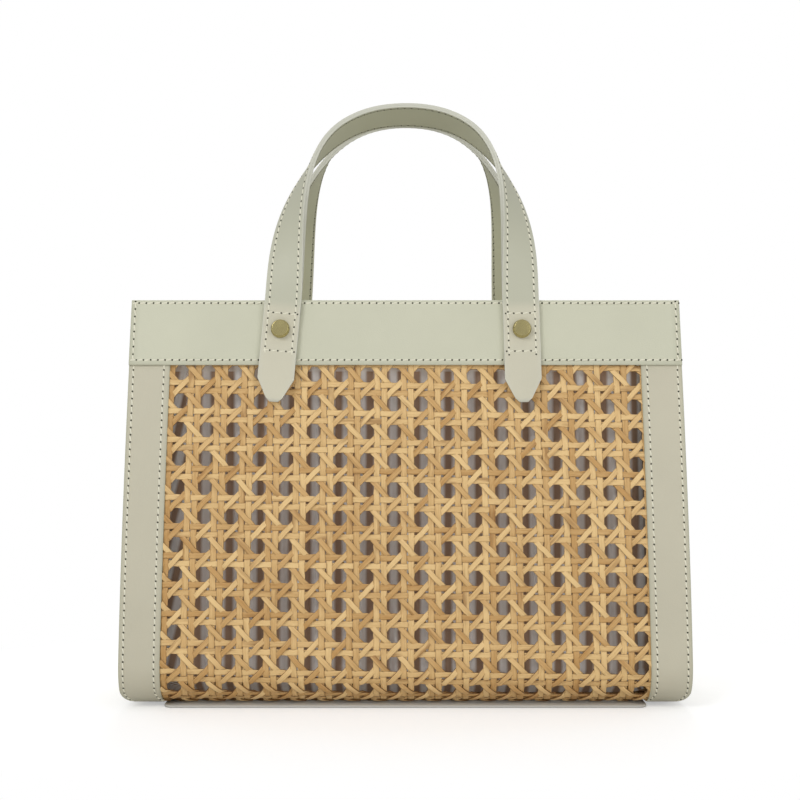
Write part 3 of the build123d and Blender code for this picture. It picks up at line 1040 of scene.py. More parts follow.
@dataclass
class Trim:
    """The top bands, edge strips, gussets and base panel."""

    strip_width: float = 22.6 * MM
    cane: float = 1.2 * MM
    inner_leg: float = 30.0 * MM
    fold_radius: float = 1.3 * MM
    gusset: float = 1.6 * MM
    gusset_inset: float = 6.5 * MM
    gusset_top: float = 222.1 * MM
    base_half_width: float = 133.2 * MM
    base_front_inset: float = 12.0 * MM
    base_corner: float = 5.0 * MM
    base_lower_edge: float = 0.8 * MM
    base_upper_edge: float = 0.5 * MM
    base_rise_inset: float = 18.5 * MM
    band_edge: float = 0.45 * MM
    leg_beside_gusset: float = 2.4 * MM
    drawn_in: float = 5.0 * MM
    unevenness: float = 0.13 * MM

    def waver(self, x: float, s: float) -> float:
        """A slight unevenness of soft leather over cane."""
        close = math.sin(x / (11 * MM)) * math.cos(s / (17 * MM))
        return self.unevenness * (close + math.sin(x / (29 * MM) + 1.3))

    def band_section(self, inner_leg: float) -> list[tuple[float, float, float]]:
        """(up, outside, rim) round the folded band, from the lower edge of its outer leg.

        Args:
            inner_leg: how far its inner leg reaches down.

        Returns:
            The section's points.
        """
        top, face, fold = WALL.lean_length, WALL.band_face, self.fold_radius
        inner = -self.cane - WALL.band
        edge = self.band_edge
        points = [(edge * 0.3, WALL.strip + edge, 1.0), (0.0, face - edge, 1.0)]
        points += [(edge * 0.3, face - edge * 0.3, 1.0), (edge, face, 0.8)]
        points += [(edge + (top - fold - edge) * i / 12, face, 0.0) for i in range(1, 12)]
        turns = [math.radians(90 * step / 4) for step in range(5)]
        points += [(top - fold + fold * math.sin(a), face - fold + fold * math.cos(a), 0.0) for a in turns]
        points += [(top - fold + fold * math.cos(a), inner + fold - fold * math.sin(a), 0.0) for a in turns]
        low = top - inner_leg
        points += [(top - (top - low) * i / 5, inner, 0.0) for i in range(1, 5)]
        points += [(low + edge, inner, 0.6), (low, inner + edge, 1.0), (low, -self.cane, 1.0)]
        points += [(top - WALL.band, -self.cane, 0.0), (top - WALL.band, WALL.strip, 0.0)]
        points += [(edge, WALL.strip, 0.3)]
        return points

    def band(self, end: End) -> None:
        """Folds one band over the top edge.

        Args:
            end: front or back.
        """
        rings = []
        inner_half = WALL.top_half - self.gusset_inset - self.gusset - 1 * MM
        places = sorted(set(spread(-1, 1, 61)) | {-0.999, -0.9965, 0.9965, 0.999, -0.94, 0.94})
        for share in places:
            free = abs(share) * WALL.top_half < inner_half
            leg = self.inner_leg if free else self.leg_beside_gusset
            points, rims = [], []
            end_rim = 1.0 if abs(share) > 0.995 else 0.0
            for up, out, rim in self.band_section(leg):
                s = WALL.belly_length + up
                pull = 0.35 * MM if abs(share) == 1 and out > WALL.strip + 0.2 * MM else 0.0
                wave = self.waver(share * WALL.top_half, s) if out > WALL.strip + 0.4 * MM else 0.0
                y, z = WALL.side(s, out - pull + wave)
                points.append(facing(end, Vector((share * WALL.half_width(z), y, z))))
                rims.append(max(rim, end_rim))
            rings.append(Ring(points, rims))
        shell = Shell()
        shell.sweep(rings)
        settle(shell.piece(f"{end}_band", TRIM), "bag", "trim_leather", f"{end}_top_band")

    def strip(self, end: End, side: int, side_name: str) -> None:
        """Lays one edge strip from the middle of the floor up under the band.

        Args:
            end: front or back.
            side: -1 for the left, 1 for the right.
            side_name: the side's name.
        """
        low = -WALL.bend_length + WALL.face_y + WALL.bend_radius + 0.3 * MM
        section = Section(self.strip_width, 0.0, WALL.strip, cuts=9)
        stations = spread(low, -WALL.bend_length, 5)[:-1] + spread(-WALL.bend_length, 0, 15)[:-1]
        stations += spread(0, WALL.belly_length + WALL.lean_length - 2.5 * MM, 40)
        rings = []
        for s in stations:
            points, rims = [], []
            for across, h, rim in section.outline():
                y, z = WALL.side(s, h)
                share = 0.5 + across / self.strip_width
                cut = WALL.corner_cut(WALL.side(s, WALL.strip)[1]) * share
                x = WALL.half_width(z) - self.strip_width * (1 - share) - cut
                wave = self.waver(x + side, s) * 0.7 if h > WALL.strip / 2 else 0.0
                y, z = WALL.side(s, h + wave)
                points.append(facing(end, Vector((side * x, y, z))))
                rims.append(rim)
            rings.append(Ring(points, rims))
        shell = Shell()
        shell.sweep(rings)
        name = f"{end}_{side_name}_strip"
        settle(shell.piece(name, SIDE), "bag", "trim_leather", f"{end}_{side_name}_edge_strip")

    def gusset_side(self, side: int, side_name: str) -> None:
        """Builds one gusset: its side wall, drawn in a little at the top, and its turned-out flanges.

        Args:
            side: -1 for the left, 1 for the right.
            side_name: the side's name.
        """
        shell = Shell()
        skin = self.cane
        top_s = WALL.belly_length + (self.gusset_top - WALL.band_bottom) / math.cos(WALL.lean)
        low = -WALL.bend_length + WALL.face_y + WALL.bend_radius
        stations = spread(low, -WALL.bend_length, 4)[:-1] + spread(-WALL.bend_length, 0, 13)[:-1]
        stations += spread(0, top_s, 26)
        path = [(s, End.FRONT) for s in reversed(stations)] + [(s, End.BACK) for s in stations[1:]]
        flange = Section(self.gusset_inset + self.gusset, -skin - self.gusset, -skin, 0.4 * MM, 2)
        rings = []
        for s, end in path:
            points, rims = [], []
            for across, h, rim in flange.outline():
                y, z = WALL.side(s, h)
                cut = WALL.corner_cut(z) * 0.5 * (1 + across / flange.width * 2)
                x = WALL.half_width(z) - flange.width / 2 + across - cut - 0.25 * MM
                points.append(facing(end, Vector((side * x, y, z))))
                rims.append(rim)
            rings.append(Ring(points, rims))
        shell.sweep(rings)
        shares = spread(-1, 1, 25)
        grids = []
        for depth in (0.0, self.gusset):
            grid = []
            for s in stations[3:]:
                y_edge, z = WALL.side(s, -skin - self.gusset * 0.5)
                rim = 1.0 if s > top_s - 0.1 * MM else 0.0
                row = []
                for share in shares:
                    x = WALL.half_width(z) - self.gusset_inset - depth
                    x -= self.draw_in(share, z)
                    row.append(shell.add(Vector((side * x, share * -y_edge, z)), rim=rim))
                grid.append(row)
            grids.append(grid)
        self.fill(shell, grids)
        piece = shell.piece(f"{side_name}_side", SIDE)
        settle(piece, "bag", "body_leather", f"{side_name}_gusset")

    def draw_in(self, share: float, z: float) -> float:
        """How far the soft side wall is drawn inwards, most at the middle of its top."""
        return self.drawn_in * (1 - share * share) ** 2 * ease((z - 60 * MM) / (160 * MM))

    @staticmethod
    def fill(shell: Shell, grids: list[list[list[int]]]) -> None:
        """Joins two grids of points into a closed plate.

        Args:
            shell: the shell that holds the points.
            grids: the outer and the inner grid of point numbers.
        """
        outer, inner = grids
        rows, columns = len(outer), len(outer[0])
        for r in range(rows - 1):
            for c in range(columns - 1):
                shell.faces.append((outer[r][c], outer[r][c + 1], outer[r + 1][c + 1], outer[r + 1][c]))
                shell.faces.append((inner[r][c], inner[r + 1][c], inner[r + 1][c + 1], inner[r][c + 1]))
        rim = [(0, c) for c in range(columns)] + [(r, columns - 1) for r in range(1, rows)]
        rim += [(rows - 1, c) for c in range(columns - 2, -1, -1)]
        rim += [(r, 0) for r in range(rows - 2, 0, -1)]
        for (r0, c0), (r1, c1) in zip(rim, rim[1:] + rim[:1]):
            shell.faces.append((outer[r0][c0], inner[r0][c0], inner[r1][c1], outer[r1][c1]))

    def base(self) -> None:
        """Builds the base panel, with its edges rounded over."""
        half_x = self.base_half_width
        half_y = WALL.depth / 2 - self.base_front_inset
        edge, upper = self.base_lower_edge, self.base_upper_edge
        turns = [math.radians(a) for a in (30, 60, 90)]
        levels = [(8 * edge, 0.0), (edge, 0.0)]
        levels += [(edge - edge * math.sin(a), edge - edge * math.cos(a)) for a in turns]
        for angle in [0.0] + turns:
            levels.append((upper - upper * math.cos(angle), WALL.base - upper + upper * math.sin(angle)))
        rise = self.base_rise_inset
        levels += [(rise, WALL.base), (rise, WALL.base + WALL.strip - 0.1 * MM)]
        rings = []
        for inset, z in levels:
            points = []
            radius = max(self.base_corner - inset, 0.6 * MM)
            for corner, (sx, sy) in enumerate(((1, 1), (-1, 1), (-1, -1), (1, -1))):
                for step in range(7):
                    angle = math.radians(90 * corner + 15 * step)
                    x = sx * (half_x - inset - radius) + radius * math.cos(angle)
                    y = sy * (half_y - inset - radius) + radius * math.sin(angle)
                    points.append(Vector((x, y, z)))
            rims = [1.0 if 0 < z < WALL.base else 0.0] * len(points)
            rings.append(Ring(points, rims))
        shell = Shell()
        shell.sweep(rings)
        settle(shell.piece("base", BASE), "bag", "body_leather", "base_panel")

    def build(self) -> None:
        """Builds all the body's leather."""
        for end in End:
            self.band(end)
            for side, side_name in SIDES.items():
                self.strip(end, side, side_name)
        for side, side_name in SIDES.items():
            self.gusset_side(side, side_name)
        self.base()


@dataclass
class Station:
    """A place along a handle, with the directions across it and out of its face."""

    place: Vector
    across: Vector
    out: Vector
    run: float
    half: float


@dataclass
class Handle:
    """One handle: two plies of leather from tab to tab over the arch."""

    width: float = 20.0 * MM
    outer: float = 1.6 * MM
    lining: float = 1.2 * MM
    shift: float = -2.1 * MM
    fold_height: float = 217.6 * MM
    half_spacing: float = 65.7 * MM
    lift: float = 0.4 * MM
    slant: float = math.radians(2.9)
    aside: float = math.radians(1.8)
    arch_height: float = 333.2 * MM
    arch_shift: float = 2.6 * MM
    side_reach: float = 62.7 * MM
    side_height: float = 250.5 * MM
    top_reach: float = 71.2 * MM
    curl: float = 1.61
    arch_twist: float = math.radians(86.5)
    twist_start: float = 0.022
    twist_end: float = 0.785
    tab_length: float = 49.7 * MM
    tab_shoulder: float = 37.0 * MM
    tab_tip: float = 7.0 * MM
    lining_end: float = 23.5 * MM
    box_top: float = 0.6 * MM
    box_bottom: float = 21.6 * MM
    stud_drop: float = 9.4 * MM
    held_from: float = 7.0 * MM
    edge_radius: float = 0.14 * MM
    arch_steps: int = 110

    @property
    def stack(self) -> float:
        """Thickness of both plies together."""
        return self.outer + self.lining

    @property
    def fold_s(self) -> float:
        """Distance up the wall of the fold."""
        face_z = WALL.side(WALL.belly_length, WALL.band_face + self.stack)[1]
        return WALL.belly_length + (self.fold_height - face_z) / math.cos(WALL.lean)

    def end_frame(self, side: int) -> tuple[Vector, Vector, Vector]:
        """The fold's middle on the band's face, the way up a sewn end, and out of its face.

        Args:
            side: -1 for the left end, 1 for the right.

        Returns:
            The place and the two directions.
        """
        y, z = WALL.side(self.fold_s, WALL.band_face)
        sine, cosine = math.sin(WALL.lean), math.cos(WALL.lean)
        slant = self.slant - side * self.aside
        up = Vector((-side * math.sin(slant), math.cos(slant) * sine, math.cos(slant) * cosine))
        return Vector((self.shift + side * self.half_spacing, y, z)), up, Vector((0, -cosine, sine))

    def half_at(self, below: float) -> float:
        """Half of the strap's width at a distance below the fold, down its pointed tab.

        Args:
            below: the distance below the fold.

        Returns:
            Half of the width.
        """
        half = self.width / 2
        if below <= self.tab_shoulder:
            return half
        share = (below - self.tab_shoulder) / (self.tab_length - self.tab_shoulder)
        return half + (self.tab_tip / 2 - half) * share

    def end_station(self, side: int, below: float) -> Station:
        """A place on a sewn end, at a distance below the fold. It is lifted a little at the fold.

        Args:
            side: -1 for the left end, 1 for the right.
            below: the distance below the fold.

        Returns:
            The place.
        """
        origin, up, out = self.end_frame(side)
        lift = self.lift * ease(1 - below / (7 * MM))
        place = origin + out * (self.stack / 2 + lift) - up * below
        along = up if side < 0 else -up
        return Station(place, along.cross(out), out, 0.0, self.half_at(below))

    def arch_station(self, t: float) -> Station:
        """A place on the free loop, t from -1 at its left foot to 1 at its right.

        Args:
            t: how far along the loop it is.

        Returns:
            The place.
        """
        side = -1 if t < 0 else 1
        u = 1 - abs(t)
        foot = self.fold_height + self.lift
        reach = (self.half_spacing, self.side_reach, self.top_reach, 0)
        height = (foot, self.side_height, self.arch_height, self.arch_height)
        share = ((1 - u) ** 3, 3 * u * (1 - u) ** 2, 3 * u * u * (1 - u), u**3)
        slope = (-3 * (1 - u) ** 2, 3 * (1 - u) * (1 - 3 * u), 3 * u * (2 - 3 * u), 3 * u * u)
        x = side * sum(p * q for p, q in zip(share, reach))
        z = sum(p * q for p, q in zip(share, height))
        rise = z - foot
        middle = WALL.side(self.fold_s, WALL.band_face + self.stack / 2)[0]
        y = middle - self.lift / math.cos(WALL.lean)
        y += math.tan(WALL.lean) * (rise + self.lift) + self.curl * rise * rise
        lean_slope = math.tan(WALL.lean) + 2 * self.curl * rise
        climb = self.arch_height - foot
        z_slope = -side * sum(p * q for p, q in zip(slope, height))
        x_slope = self.arch_shift * z_slope / climb - sum(p * q for p, q in zip(slope, reach))
        along = Vector((x_slope, lean_slope * z_slope, z_slope)).normalized()
        tilt = math.atan(lean_slope)
        forward = Vector((0, -math.cos(tilt), math.sin(tilt)))
        twist = self.arch_twist * ease((u - self.twist_start) / (self.twist_end - self.twist_start))
        out = forward * math.cos(twist) + forward.cross(along) * math.sin(twist)
        x += self.shift + self.arch_shift * rise / climb
        return Station(Vector((x, y, z)), along.cross(out), out, 0.0, self.width / 2)

    def stations(self, end_length: float) -> list[Station]:
        """All places from one sewn end's foot over the arch to the other's.

        Args:
            end_length: how far the ply runs down below the fold.

        Returns:
            The stations, with their distance along the strap from the left foot.
        """
        below = spread(0.8 * MM, end_length, max(int(end_length / (2 * MM)), 6))
        if end_length > self.tab_shoulder:
            below = sorted(below + [self.tab_shoulder - 0.3 * MM, self.tab_shoulder + 0.3 * MM])
        left = [self.end_station(-1, b) for b in reversed(below)]
        arch = [self.arch_station(t) for t in spread(-1, 1, self.arch_steps)]
        right = [self.end_station(1, b) for b in below]
        line = left + arch + right
        for before, here in zip(line, line[1:]):
            here.run = before.run + (here.place - before.place).length
        return line

    def ply(self, end: End, low: float, high: float, end_length: float) -> Shell:
        """The skin of one ply between two depths.

        Args:
            end: front or back.
            low: the depth of its inner face, from the strap's middle.
            high: the depth of its outer face.
            end_length: how far it runs down below the fold.

        Returns:
            The skin.
        """
        line = self.stations(end_length)
        tip = 1.2 * MM
        rings = []
        for station in line:
            from_end = min(station.run, line[-1].run - station.run)
            tuck = 1 - ease(from_end / tip) if from_end < tip else 0.0
            half = station.half - tuck * tip
            bottom = low + tuck * 0.25 * MM
            section = Section(2 * half, bottom, high - tuck * 0.35 * MM, self.edge_radius, 7)
            points, rims = [], []
            for across, h, rim in section.outline():
                point = station.place + station.across * across + station.out * h
                points.append(facing(end, point))
                rims.append(max(rim, tuck))
            # the strap is coloured darker above its fold
            held = ease((station.place.z - self.fold_height) / self.held_from)
            rings.append(Ring(points, rims, held))
        shell = Shell()
        shell.sweep(rings)
        return shell

    def blend(self, end: End, piece: bpy.types.Object) -> None:
        """Bakes a piece's placing into its mesh; the fold's start and end are worked out but not used.

        Args:
            end: front or back.
            piece: the piece.
        """
        start = facing(end, WALL.point(0, self.fold_s - 3.5 * MM, WALL.band_face + self.stack / 2))
        finish = facing(end, WALL.point(0, self.fold_s + 4.5 * MM, WALL.band_face + self.stack / 2))
        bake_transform(piece)

    def build(self, end: End) -> None:
        """Builds one handle's two plies.

        Args:
            end: front or back.
        """
        low = -self.stack / 2
        seam = low + self.lining
        strap = self.ply(end, seam, -low, self.tab_length).piece(f"{end}_strap", STRAP)
        settle(strap, None, "strap_leather", f"{end}_handle_strap",
               f"{end}_left_strap_end", f"{end}_right_strap_end")
        # the lining's darker colour is painted shade
        lining = self.ply(end, low, seam, self.lining_end).piece(f"{end}_strap_lining", SHADED_LINING)
        settle(lining, None, "lining_leather", f"{end}_handle_lining",
               f"{end}_left_lining_end", f"{end}_right_lining_end")
        for piece in (strap, lining):
            self.blend(end, piece)


@dataclass
class Studs:
    """The screw studs and their back caps."""

    base_radius: float = 5.1 * MM
    top_radius: float = 4.2 * MM
    height: float = 4.0 * MM
    collar: float = 1.4 * MM
    cane: float = 1.2 * MM
    cap_radius: float = 4.5 * MM
    cap_height: float = 2.2 * MM
    facets: int = 40

    def lathe(self, centre: Vector, out: Vector, profile: Sequence[tuple[float, float]]) -> Shell:
        """Turns a profile of (radius, height) round a line.

        Args:
            centre: where the line starts.
            out: the way that it runs.
            profile: the profile.

        Returns:
            The skin.
        """
        across = Vector((1, 0, 0))
        up = out.cross(across)
        rings = []
        for radius, height in profile:
            turned = []
            for i in range(self.facets):
                angle = TURN * i / self.facets
                spoke = across * math.cos(angle) + up * math.sin(angle)
                turned.append(centre + out * height + spoke * radius)
            rings.append(Ring(turned, [0.0] * self.facets))
        shell = Shell()
        shell.sweep(rings)
        return shell

    def head(self) -> list[tuple[float, float]]:
        """The profile of a stud's head: a low collar and a cone up to its flat top.

        Returns:
            Its points as (radius, height).
        """
        r, t, h = self.base_radius, self.top_radius, self.height
        rim = self.collar
        head = [(1 * MM, -0.6 * MM), (r - 0.3 * MM, -0.05 * MM), (r, 0.25 * MM), (r, rim - 0.1 * MM)]
        head += [(r - 0.04 * MM, rim), (r - 0.12 * MM, rim + 0.1 * MM), (t + 0.24 * MM, h - 0.3 * MM)]
        head += [(t + 0.14 * MM, h - 0.12 * MM), (t + 0.04 * MM, h - 0.03 * MM), (t - 0.06 * MM, h)]
        head += [(t - 0.14 * MM, h), (t * 0.5, h), (0.3 * MM, h)]
        return head

    def cap(self) -> list[tuple[float, float]]:
        """The profile of the cap inside.

        Returns:
            Its points as (radius, height).
        """
        c, d = self.cap_radius, self.cap_height
        cap = [(c - 0.2 * MM, 0.0), (c, 0.2 * MM), (c, d - 0.5 * MM), (c - 0.15 * MM, d - 0.15 * MM)]
        cap += [(c - 0.5 * MM, d), (1.2 * MM, d - 0.1 * MM), (0.3 * MM, d - 0.1 * MM)]
        return cap

    def build(self, handle: Handle) -> None:
        """Builds all the studs and caps.

        Args:
            handle: the handle whose ends they hold.
        """
        for end in End:
            for side, side_name in SIDES.items():
                origin, up, out = handle.end_frame(side)
                foot = origin - up * handle.stud_drop
                face = facing(end, foot + out * handle.stack)
                name = f"{end}_{side_name}_stud"
                head = self.lathe(face, facing(end, out), self.head()).piece(f"{name}_head", BRASS)
                settle(head, "bag", "stud_metal", name)
                inside = facing(end, foot - out * (WALL.band_face + self.cane + WALL.band))
                cap = self.lathe(inside, -facing(end, out), self.cap()).piece(f"{name}_back", BRASS)
                settle(cap, "bag", "stud_metal", f"{name}_cap")


@dataclass
class Pouch:
    """The cloth pouch inside, pleated all round and open at its top."""

    half_width: float = 136.0 * MM
    foot: float = 5.7 * MM
    knee: float = 22.0 * MM
    top: float = 190.0 * MM
    foot_half: float = 32.0 * MM
    knee_half: float = 51.0 * MM
    top_half: float = 41.5 * MM
    corner: float = 16.0 * MM
    pleat: float = 17.2 * MM
    pleat_depth: float = 1.5 * MM
    around_length: float = 880.0 * MM
    cloth: float = 0.5 * MM
    gathers: float = 1.25
    around: int = 640
    levels: int = 34

    def outline(self, share: float, half_x: float, half_y: float) -> tuple[Vector, Vector, float]:
        """A place round a rounded rectangle, the way out there, and the distance round to it.

        Args:
            share: how far round it is, from 0 to 1.
            half_x: half of the rectangle's width.
            half_y: half of its depth.

        Returns:
            The place, the way out and the distance.
        """
        radius = min(self.corner, half_y * 0.9)
        straight_x, straight_y = 2 * (half_x - radius), 2 * (half_y - radius)
        quarter = radius * math.pi / 2
        total = 2 * (straight_x + straight_y) + 4 * quarter
        run = share * total
        left = run
        heading = 0.0
        place = Vector((-straight_x / 2, -half_y, 0))
        for length in (straight_x, straight_y, straight_x, straight_y):
            forward = Vector((math.cos(heading), math.sin(heading), 0))
            side = Vector((-forward.y, forward.x, 0))
            if left <= length:
                return place + forward * left, -side, run
            place += forward * length
            left -= length
            if left <= quarter:
                turn = left / radius
                out = forward * math.sin(turn) - side * math.cos(turn)
                return place + side * radius + out * radius, out, run
            place += side * radius + forward * radius
            left -= quarter
            heading += math.pi / 2
        return place, Vector((0, -1, 0)), run

    def half_depth(self, z: float) -> float:
        """Half of the pouch's depth at a height.

        Args:
            z: the height.

        Returns:
            Half of the depth.
        """
        if z < self.knee:
            share = (z - self.foot) / (self.knee - self.foot)
            return self.foot_half + (self.knee_half - self.foot_half) * math.sin(share * math.pi / 2)
        return self.knee_half + (self.top_half - self.knee_half) * (z - self.knee) / (self.top - self.knee)

    def build(self) -> None:
        shell = Shell()
        count = round(self.around_length / self.pleat)
        rows = []
        for level in range(self.levels + 1):
            z = self.foot + (self.top - self.foot) * level / self.levels
            loose = ease(level / 4) * (0.6 + 0.4 * ease(1 - level / self.levels))
            row = []
            for i in range(self.around):
                place, out, run = self.outline(i / self.around, self.half_width, self.half_depth(z))
                phase = TURN * count * i / self.around
                drift = 0.5 * math.sin(z / (31 * MM) + phase / 5) + 0.3 * math.sin(phase / 3 + 2)
                fold = math.sin(phase + drift) + 0.35 * math.sin(2 * phase + 1.7 * drift + 0.6)
                point = place + out * (fold * self.pleat_depth * loose)
                row.append(shell.add(point + Vector((0, 0, z)), girth=run, height=z - self.foot))
            rows.append(row)
        for low, high in zip(rows, rows[1:]):
            for i in range(self.around):
                j = (i + 1) % self.around
                shell.faces.append((low[i], low[j], high[j], high[i]))
        shell.faces.append(tuple(reversed(rows[0])))
        piece = shell.piece("pouch", CLOTH, outward=False)
        solid = piece.modifiers.new("thickness", "SOLIDIFY")
        solid.thickness = self.cloth
        girth = self.gathers * (4 * self.half_width + 4 * self.knee_half)
        settle(piece, "bag", "pouch_cloth", "inner_pouch")


@dataclass
class Row:
    """A row of stitches: the places it runs through, and the way out of the surface at each."""

    places: list[Vector]
    outs: list[Vector]


@dataclass
class Stitching:
    """Every seam's stitches, with dark dots of painted shade at their needle holes."""

    pitch: float = 3.92 * MM
    length: float = 3.0 * MM
    width: float = 0.92 * MM
    slant: float = math.radians(9)
    hole_radius: float = 0.56
    strap_inset: float = 2.6 * MM
    lining_inset: float = 1.5 * MM
    strip_insets: tuple[float, float] = (2.6 * MM, 3.3 * MM)
    band_top_inset: float = 1.9 * MM
    band_foot_inset: float = 2.8 * MM
    band_end_inset: float = 2.2 * MM
    leg_top_inset: float = 2.1 * MM
    leg_foot_inset: float = 2.5 * MM
    leg_end_inset: float = 12.0 * MM
    band_stand: float = 0.12 * MM
    strip_stand: float = 0.08 * MM
    round_bend: float = 0.72
    body_seeds: dict[End, int] = field(default_factory=lambda: {End.FRONT: 11, End.BACK: 12})
    handle_seeds: dict[End, int] = field(default_factory=lambda: {End.FRONT: 21, End.BACK: 22})
    tools: list[Tool] = field(default_factory=list)

    def tool(self) -> Tool:
        """The tree that sets stitches along guide lines.

        Returns:
            The tree, the same one each time.
        """
        if self.tools:
            return self.tools[0]
        tool = Tool("stitch_row", {
            "Pitch": "NodeSocketFloat", "Length": "NodeSocketFloat", "Width": "NodeSocketFloat",
            "Slant": "NodeSocketFloat", "Seed": "NodeSocketInt",
            "Thread": "NodeSocketMaterial", "Hole": "NodeSocketMaterial",
        })
        g = tool.graph
        lines = g.wire("GeometryNodeMeshToCurve", inputs={"Mesh": tool.given("Geometry")})
        points = g.node("GeometryNodeCurveToPoints", {"mode": "LENGTH"},
                        {"Curve": lines, "Length": tool.given("Pitch")})
        up = g.wire("GeometryNodeInputNamedAttribute", {"data_type": "FLOAT_VECTOR"}, {"Name": "up"})
        first = g.wire("FunctionNodeAlignRotationToVector", {"axis": "X"},
                       {"Vector": Wire(g, points.outputs["Tangent"])})
        turned = g.wire("FunctionNodeAlignRotationToVector", {"axis": "Z", "pivot_axis": "X"},
                        {"Rotation": first, "Vector": up})
        length, width = tool.given("Length"), tool.given("Width")
        arc = g.wire("GeometryNodeCurveQuadraticBezier", inputs={
            "Resolution": 6,
            "Start": g.combine(length * -0.5, 0.0, width * -0.45),
            "Middle": g.combine(0.0, 0.0, width * 0.25),
            "End": g.combine(length * 0.5, 0.0, width * -0.45),
        })
        round_section = g.wire("GeometryNodeCurvePrimitiveCircle", {"mode": "RADIUS"},
                               {"Resolution": 6, "Radius": width * 0.5})
        thread = g.wire("GeometryNodeCurveToMesh",
                        inputs={"Curve": arc, "Profile Curve": round_section, "Fill Caps": True})
        tilt = g.chance(0.5, 1.5, tool.given("Seed"))
        slant = g.combine(0.0, 0.0, tilt * tool.given("Slant"))
        slanted = g.wire("FunctionNodeRotateRotation", {"rotation_space": "LOCAL"},
                         {"Rotation": turned, "Rotate By": slant})
        stitches = g.wire("GeometryNodeInstanceOnPoints", inputs={
            "Points": Wire(g, points.outputs["Points"]), "Instance": thread, "Rotation": slanted})
        stitches = g.finished(stitches, tool.given("Thread"))
        # painted shade: each needle hole is a flat dark dot
        hole = g.wire("GeometryNodeMeshUVSphere",
                      inputs={"Segments": 8, "Rings": 5, "Radius": width * self.hole_radius})
        beside = g.combine(tool.given("Pitch") * 0.5, 0.0, width * 0.05)
        flat = g.wire("GeometryNodeTransform",
                      inputs={"Geometry": hole, "Scale": (1.0, 1.0, 0.3), "Translation": beside})
        holes = g.wire("GeometryNodeInstanceOnPoints", inputs={
            "Points": Wire(g, points.outputs["Points"]), "Instance": flat, "Rotation": turned})
        holes = g.finished(holes, tool.given("Hole"))
        both = g.node("GeometryNodeJoinGeometry")
        g.feed(both.inputs[0], stitches)
        g.feed(both.inputs[0], holes)
        tool.finish(g.wire("GeometryNodeSetShadeSmooth", inputs={"Geometry": Wire(g, both.outputs[0])}))
        self.tools.append(tool)
        return tool

    def sew(self, name: str, rows: Sequence[Row], seed: int, thread: Thread = STITCH) -> bpy.types.Object:
        """Sews some rows as one piece.

        Args:
            name: the piece's name.
            rows: its rows.
            seed: what its small differences start from.
            thread: the thread's finish.

        Returns:
            The stitches, as a plain mesh.
        """
        mesh = bpy.data.meshes.new(name)
        points, edges, ups = [], [], []
        for row in rows:
            start = len(points)
            points += [tuple(p) for p in row.places]
            ups += [c for out in row.outs for c in out]
            edges += [(start + i, start + i + 1) for i in range(len(row.places) - 1)]
        mesh.from_pydata(points, edges, [])
        mesh.attributes.new("up", "FLOAT_VECTOR", "POINT").data.foreach_set("vector", ups)
        piece = bpy.data.objects.new(name, mesh)
        bpy.context.scene.collection.objects.link(piece)
        return self.tool().run(
            piece, pitch=self.pitch, length=self.length, width=self.width, slant=self.slant,
            seed=seed, thread=thread.material(), hole=NEEDLE_HOLE_SHADE.material(),
        )

    def wall_row(self, end: End, start: tuple[float, float], finish: tuple[float, float], h: float,
                 edge: bool = False, side: int = 1, steps: int = 60) -> Row:
        """A row on a wall, between two places given as (x, s).

        Args:
            end: front or back.
            start: where it begins. With edge, x is the distance in from the bag's edge.
            finish: where it ends.
            h: how far outside the cane's face it lies.
            edge: whether x is counted in from the bag's edge.
            side: which edge.
            steps: how many straight pieces it has.

        Returns:
            The row.
        """
        places, outs = [], []
        sign = 1 if h > 0 else -1
        for i in range(steps + 1):
            share = i / steps
            x = start[0] + (finish[0] - start[0]) * share
            s = start[1] + (finish[1] - start[1]) * share
            y, z = WALL.side(s, h)
            if edge:
                x = side * (WALL.half_width(z) - x - WALL.corner_cut(z))
            places.append(facing(end, Vector((x, y, z))))
            outs.append(facing(end, WALL.outward(s) * sign))
        return Row(places, outs)

    def body(self, trim: Trim) -> None:
        """Sews the bands and strips, outside and in.

        Args:
            trim: the bands and strips.
        """
        band_foot, band_top = WALL.belly_length, WALL.belly_length + WALL.lean_length
        low = -WALL.bend_length * self.round_bend
        face, inner = WALL.band_face + self.band_stand, -trim.cane - WALL.band
        strip_face = WALL.strip + self.strip_stand
        reach = WALL.top_half - self.band_end_inset
        leg_reach = reach - self.leg_end_inset
        leg_foot = band_top - trim.inner_leg + self.leg_foot_inset
        across = [(band_top - self.band_top_inset, reach, face)]
        across += [(band_foot + self.band_foot_inset, reach + 0.8 * MM, face)]
        across += [(band_top - self.leg_top_inset, leg_reach, inner), (leg_foot, leg_reach, inner)]
        for end in End:
            rows = [self.wall_row(end, (-half, s), (half, s), h) for s, half, h in across]
            for side in SIDES:
                rows.append(self.wall_row(end, (self.band_end_inset, band_foot + 4 * MM),
                                          (self.band_end_inset, band_top - 3 * MM), face, True, side))
                outer, from_inner = self.strip_insets
                for inset in (outer, trim.strip_width - from_inner):
                    rows.append(self.wall_row(end, (inset, low), (inset, band_foot - 0.5 * MM),
                                              strip_face, True, side, 110))
            piece = self.sew(f"{end}_body_stitches", rows, self.body_seeds[end])
            settle(piece, "bag", "trim_leather")

